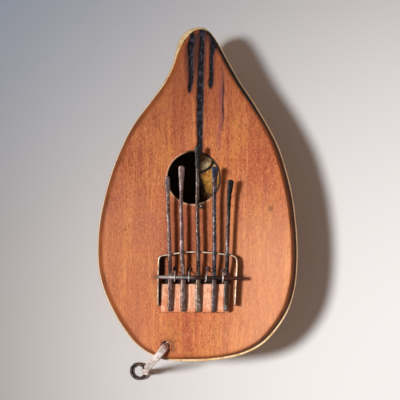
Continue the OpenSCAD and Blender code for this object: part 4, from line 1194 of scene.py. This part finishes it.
TONES = [((rgb(126, 98, 92)), rgb(82, 58, 56), rgb(178, 150, 146)), ((rgb(126, 100, 100)), rgb(82, 62, 64), rgb(170, 142, 142)),
         ((rgb(84, 66, 58)), rgb(50, 37, 36), rgb(128, 106, 94)), ((rgb(74, 66, 74)), rgb(44, 37, 41), rgb(124, 116, 130)),
         ((rgb(60, 48, 48)), rgb(34, 27, 29), rgb(108, 92, 90))]
FAR = [rgb(108, 86, 82), rgb(128, 102, 98), rgb(28, 31, 30), rgb(34, 40, 66), rgb(4, 3, 3)]
TAIL = [rgb(98, 66, 56), rgb(104, 74, 60), rgb(120, 92, 66), rgb(112, 86, 78), rgb(72, 56, 40)]
for i, (obj, _) in enumerate(tongues):
    iron(f"tongue_iron_{i + 1}", TONES[i], rgb(76, 40, 30), rgb(222, 202, 196) if i < 2 else rgb(176, 160, 158), FAR[i], TAIL[i]).on(obj)

# the strip's top edge: painted highlight and polished wear, over dark walls
M = Paint("strip_steel_worn", Metallic=0.6)
a = M.noise((300, 300, 300), 4, 0.6)
wall_c = M.mix(M.span(a, 0.36, 0.64), rgb(34, 23, 20), rgb(66, 46, 38))
bright = M.mix(M.span(M.noise((500, 500, 500), 2), 0.40, 0.62), rgb(255, 236, 212), rgb(232, 184, 148))
M.set(Base_Color=M.mix(M.attr("worn"), wall_c, bright), Roughness=M.span(a, 0.3, 0.7, 0.36, 0.52))
M.set(Normal=M.bump(a, 0.3, 0.0003))
M.on(strip)

M = Paint("bar_iron_dark", Metallic=0.6)
a = M.noise((260, 260, 260), 4, 0.65, 0.4)
c = M.mix(M.span(a, 0.40, 0.60), rgb(62, 54, 50), rgb(28, 24, 23))
c = M.mix(M.span(M.noise((120, 120, 120), 3), 0.5, 0.62, 0.0, 0.6), c, rgb(70, 40, 28))
# painted highlight: the left part of the bar is paler
c = M.mix(M.math("MULTIPLY", M.span(a, 0.36, 0.60, 0.35, 0.9), M.math("MULTIPLY", M.span(M.axis(0), -0.004, -0.022), M.span(M.axis(0), -0.0365, -0.0345))), c, rgb(150, 128, 126))
c = M.mix(M.math("MULTIPLY", M.span(M.axis(0), 0.018, 0.024), M.span(a, 0.36, 0.60, 0.3, 0.9)), c, rgb(96, 50, 36))
# painted highlight: a bright line along the top of the bar's left part
bar_highlight = M.math("MULTIPLY", M.span(M.axis(0), -0.0335, -0.0320), M.span(M.axis(0), -0.010, -0.026, 0.25, 1.0))
bar_highlight = M.math("MULTIPLY", bar_highlight, M.math("MULTIPLY", M.span(M.axis(2), 0.0716, 0.0720), M.span(M.axis(0), 0.0, -0.006)))
c = M.mix(M.math("MULTIPLY", bar_highlight, 0.78), c, rgb(240, 232, 230))
c = M.mix(M.math("MULTIPLY", M.attr("rust"), M.span(a, 0.3, 0.6, 0.2, 0.7)), c, rgb(104, 54, 32))
M.set(Base_Color=c, Roughness=M.span(a, 0.36, 0.66, 0.28, 0.55))
M.set(Normal=M.bump(a, 0.45, 0.0004))
M.on(rod)

M = Paint("tie_wire_steel", Metallic=0.45)
a = M.noise((500, 500, 500), 3)
c = M.mix(M.span(a, 0.35, 0.7), rgb(236, 234, 232), rgb(176, 170, 166))
c = M.mix(M.math("MULTIPLY", M.attr("grime_and_shade"), 0.92), c, M.mix(M.span(a, 0.4, 0.6), rgb(34, 14, 12), rgb(104, 36, 26)))
M.set(Base_Color=c, Roughness=M.span(a, 0.3, 0.7, 0.24, 0.42))
M.set(Normal=M.bump(a, 0.2, 0.0002))
for obj in ties + curls:
    M.on(obj)

M = Paint("tack_steel_head", Metallic=0.9)
a = M.noise((900, 900, 900), 3)
M.set(Base_Color=M.mix(M.span(a, 0.35, 0.7), rgb(196, 192, 192), rgb(120, 108, 106)), Roughness=M.span(a, 0.3, 0.7, 0.18, 0.34))
M.set(Normal=M.bump(a, 0.2, 0.0001))
M.on(pin)

M = Paint("ring_iron_dark", Metallic=0.5)
a = M.noise((420, 420, 420), 4, 0.6, 0.3)
c = M.mix(M.span(a, 0.32, 0.68), rgb(62, 48, 46), rgb(34, 26, 26))
c = M.mix(M.span(M.noise((240, 240, 240), 3), 0.52, 0.7, 0.0, 0.65), c, rgb(92, 52, 44))
c = M.mix(M.math("MULTIPLY", M.attr("seam"), 0.8), c, rgb(16, 12, 12))
M.set(Base_Color=c, Roughness=M.span(a, 0.3, 0.75, 0.34, 0.56))
M.set(Normal=M.bump(a, 0.5, 0.0004))
M.on(ring)

# ---- raw wood of the backrest
M = Paint("backrest_wood", Specular_IOR_Level=0.3)
a = M.noise((420, 26, 160), 4, 0.6, 0.3)
b = M.noise((1300, 90, 500), 3, 0.6)
c = M.mix(M.span(a, 0.38, 0.62), rgb(240, 164, 126), rgb(255, 200, 166))
c = M.mix(M.span(b, 0.48, 0.64, 0.0, 0.55), c, rgb(196, 112, 72))
c = M.mix(M.span(M.noise((160, 110, 160), 3), 0.52, 0.64, 0.0, 0.60), c, rgb(216, 122, 66))
c = M.mix(M.span(M.noise((500, 420, 500), 3), 0.46, 0.34, 0.0, 0.5), c, rgb(255, 214, 186))
c = M.mix(M.span(M.cells((260, 210, 260)), 0.05, 0.16, 0.6, 0.0), c, rgb(120, 62, 38))
c = M.mix(M.span(M.axis(1), -0.0955, -0.0995, 0.0, 0.45), c, rgb(214, 108, 50))
M.set(Base_Color=c, Roughness=M.span(b, 0.3, 0.7, 0.6, 0.75))
M.set(Normal=M.bump(b, 0.3, 0.0003, M.bump(M.noise((70, 1500, 70), 2), 0.25, 0.0004)))
M.on(block)

# ---- rawhide
M = Paint("rawhide_dry", Specular_IOR_Level=0.4)
a = M.noise((300, 300, 160), 4, 0.6, 0.6)
b = M.noise((1400, 1400, 260), 3, 0.6)
edge = M.span(M.math("ABSOLUTE", M.attr("across")), 0.72, 1.0)
c = M.mix(M.span(a, 0.38, 0.62), rgb(212, 188, 178), rgb(255, 246, 240))
c = M.mix(M.span(b, 0.48, 0.64, 0.0, 0.5), c, rgb(176, 142, 132))
# painted shade in the creases: bluish-grey streaks
folds = M.math("FRACT", M.math("MULTIPLY", M.math("ADD", M.attr("across"), M.math("MULTIPLY", a, 0.8)), 1.6))
c = M.mix(M.math("MULTIPLY", M.span(folds, 0.62, 0.80), M.span(folds, 0.98, 0.86, 0.0, 0.6)), c, rgb(122, 116, 128))
c = M.mix(M.math("MULTIPLY", edge, 0.28), c, rgb(224, 176, 140))
M.set(Base_Color=c, Roughness=M.span(a, 0.3, 0.7, 0.46, 0.62))
M.set(Normal=M.bump(b, 0.35, 0.0004, M.bump(a, 0.4, 0.0009)))
for obj in (thong, loop, lump):
    M.on(obj)

# ============================================================ the tongues' transforms are baked into their meshes
for i, (obj, (x, p)) in enumerate(tongues):
    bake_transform(obj)

# ============================================================ floor and light
floor = make("floor", [[-2500, -2500, -0.4], [2500, -2500, -0.4], [2500, 2500, -0.4], [-2500, 2500, -0.4]], [[0, 1, 2, 3]])
M = Paint("floor_paper", Roughness=0.9, Specular_IOR_Level=0.1)
M.set(Base_Color=M.mix(M.noise((3, 3, 3), 2), rgb(228, 226, 226), rgb(234, 233, 232)))
M.on(floor)

world = bpy.data.worlds.new("studio")
world.use_nodes = True
world.node_tree.nodes["Background"].inputs[0].default_value = (0.202, 0.153, 0.127, 1)
world.node_tree.nodes["Background"].inputs[1].default_value = 1.0
scene.world = world


def light(name, kind, at, to, power, colour, **extra):
    data = bpy.data.lights.new(name, kind)
    data.energy = power
    data.color = colour
    for key, value in extra.items():
        setattr(data, key, value)
    obj = bpy.data.objects.new(name, data)
    scene.collection.objects.link(obj)
    obj.location = at
    obj.rotation_euler = (Vector(to) - Vector(at)).to_track_quat("-Z", "Y").to_euler()
    return obj


aim = Vector((0.0, -0.02, 0.06))
key_dir = Vector((-0.63, 0.06, 1.0)).normalized()
light("key", "SPOT", aim + key_dir * 2.2, (0.40, -0.205, 0), 285, (0.985, 1.0, 1.0), shadow_soft_size=0.20, spot_size=math.radians(29), spot_blend=1.0)
light("cool", "SPOT", aim + key_dir * 2.2, (-0.27, 0.27, 0), 55, (0.16, 0.55, 1.0), shadow_soft_size=0.20, spot_size=math.radians(19), spot_blend=1.0)

scene.view_settings.view_transform = "Standard"
scene.view_settings.look = "None"
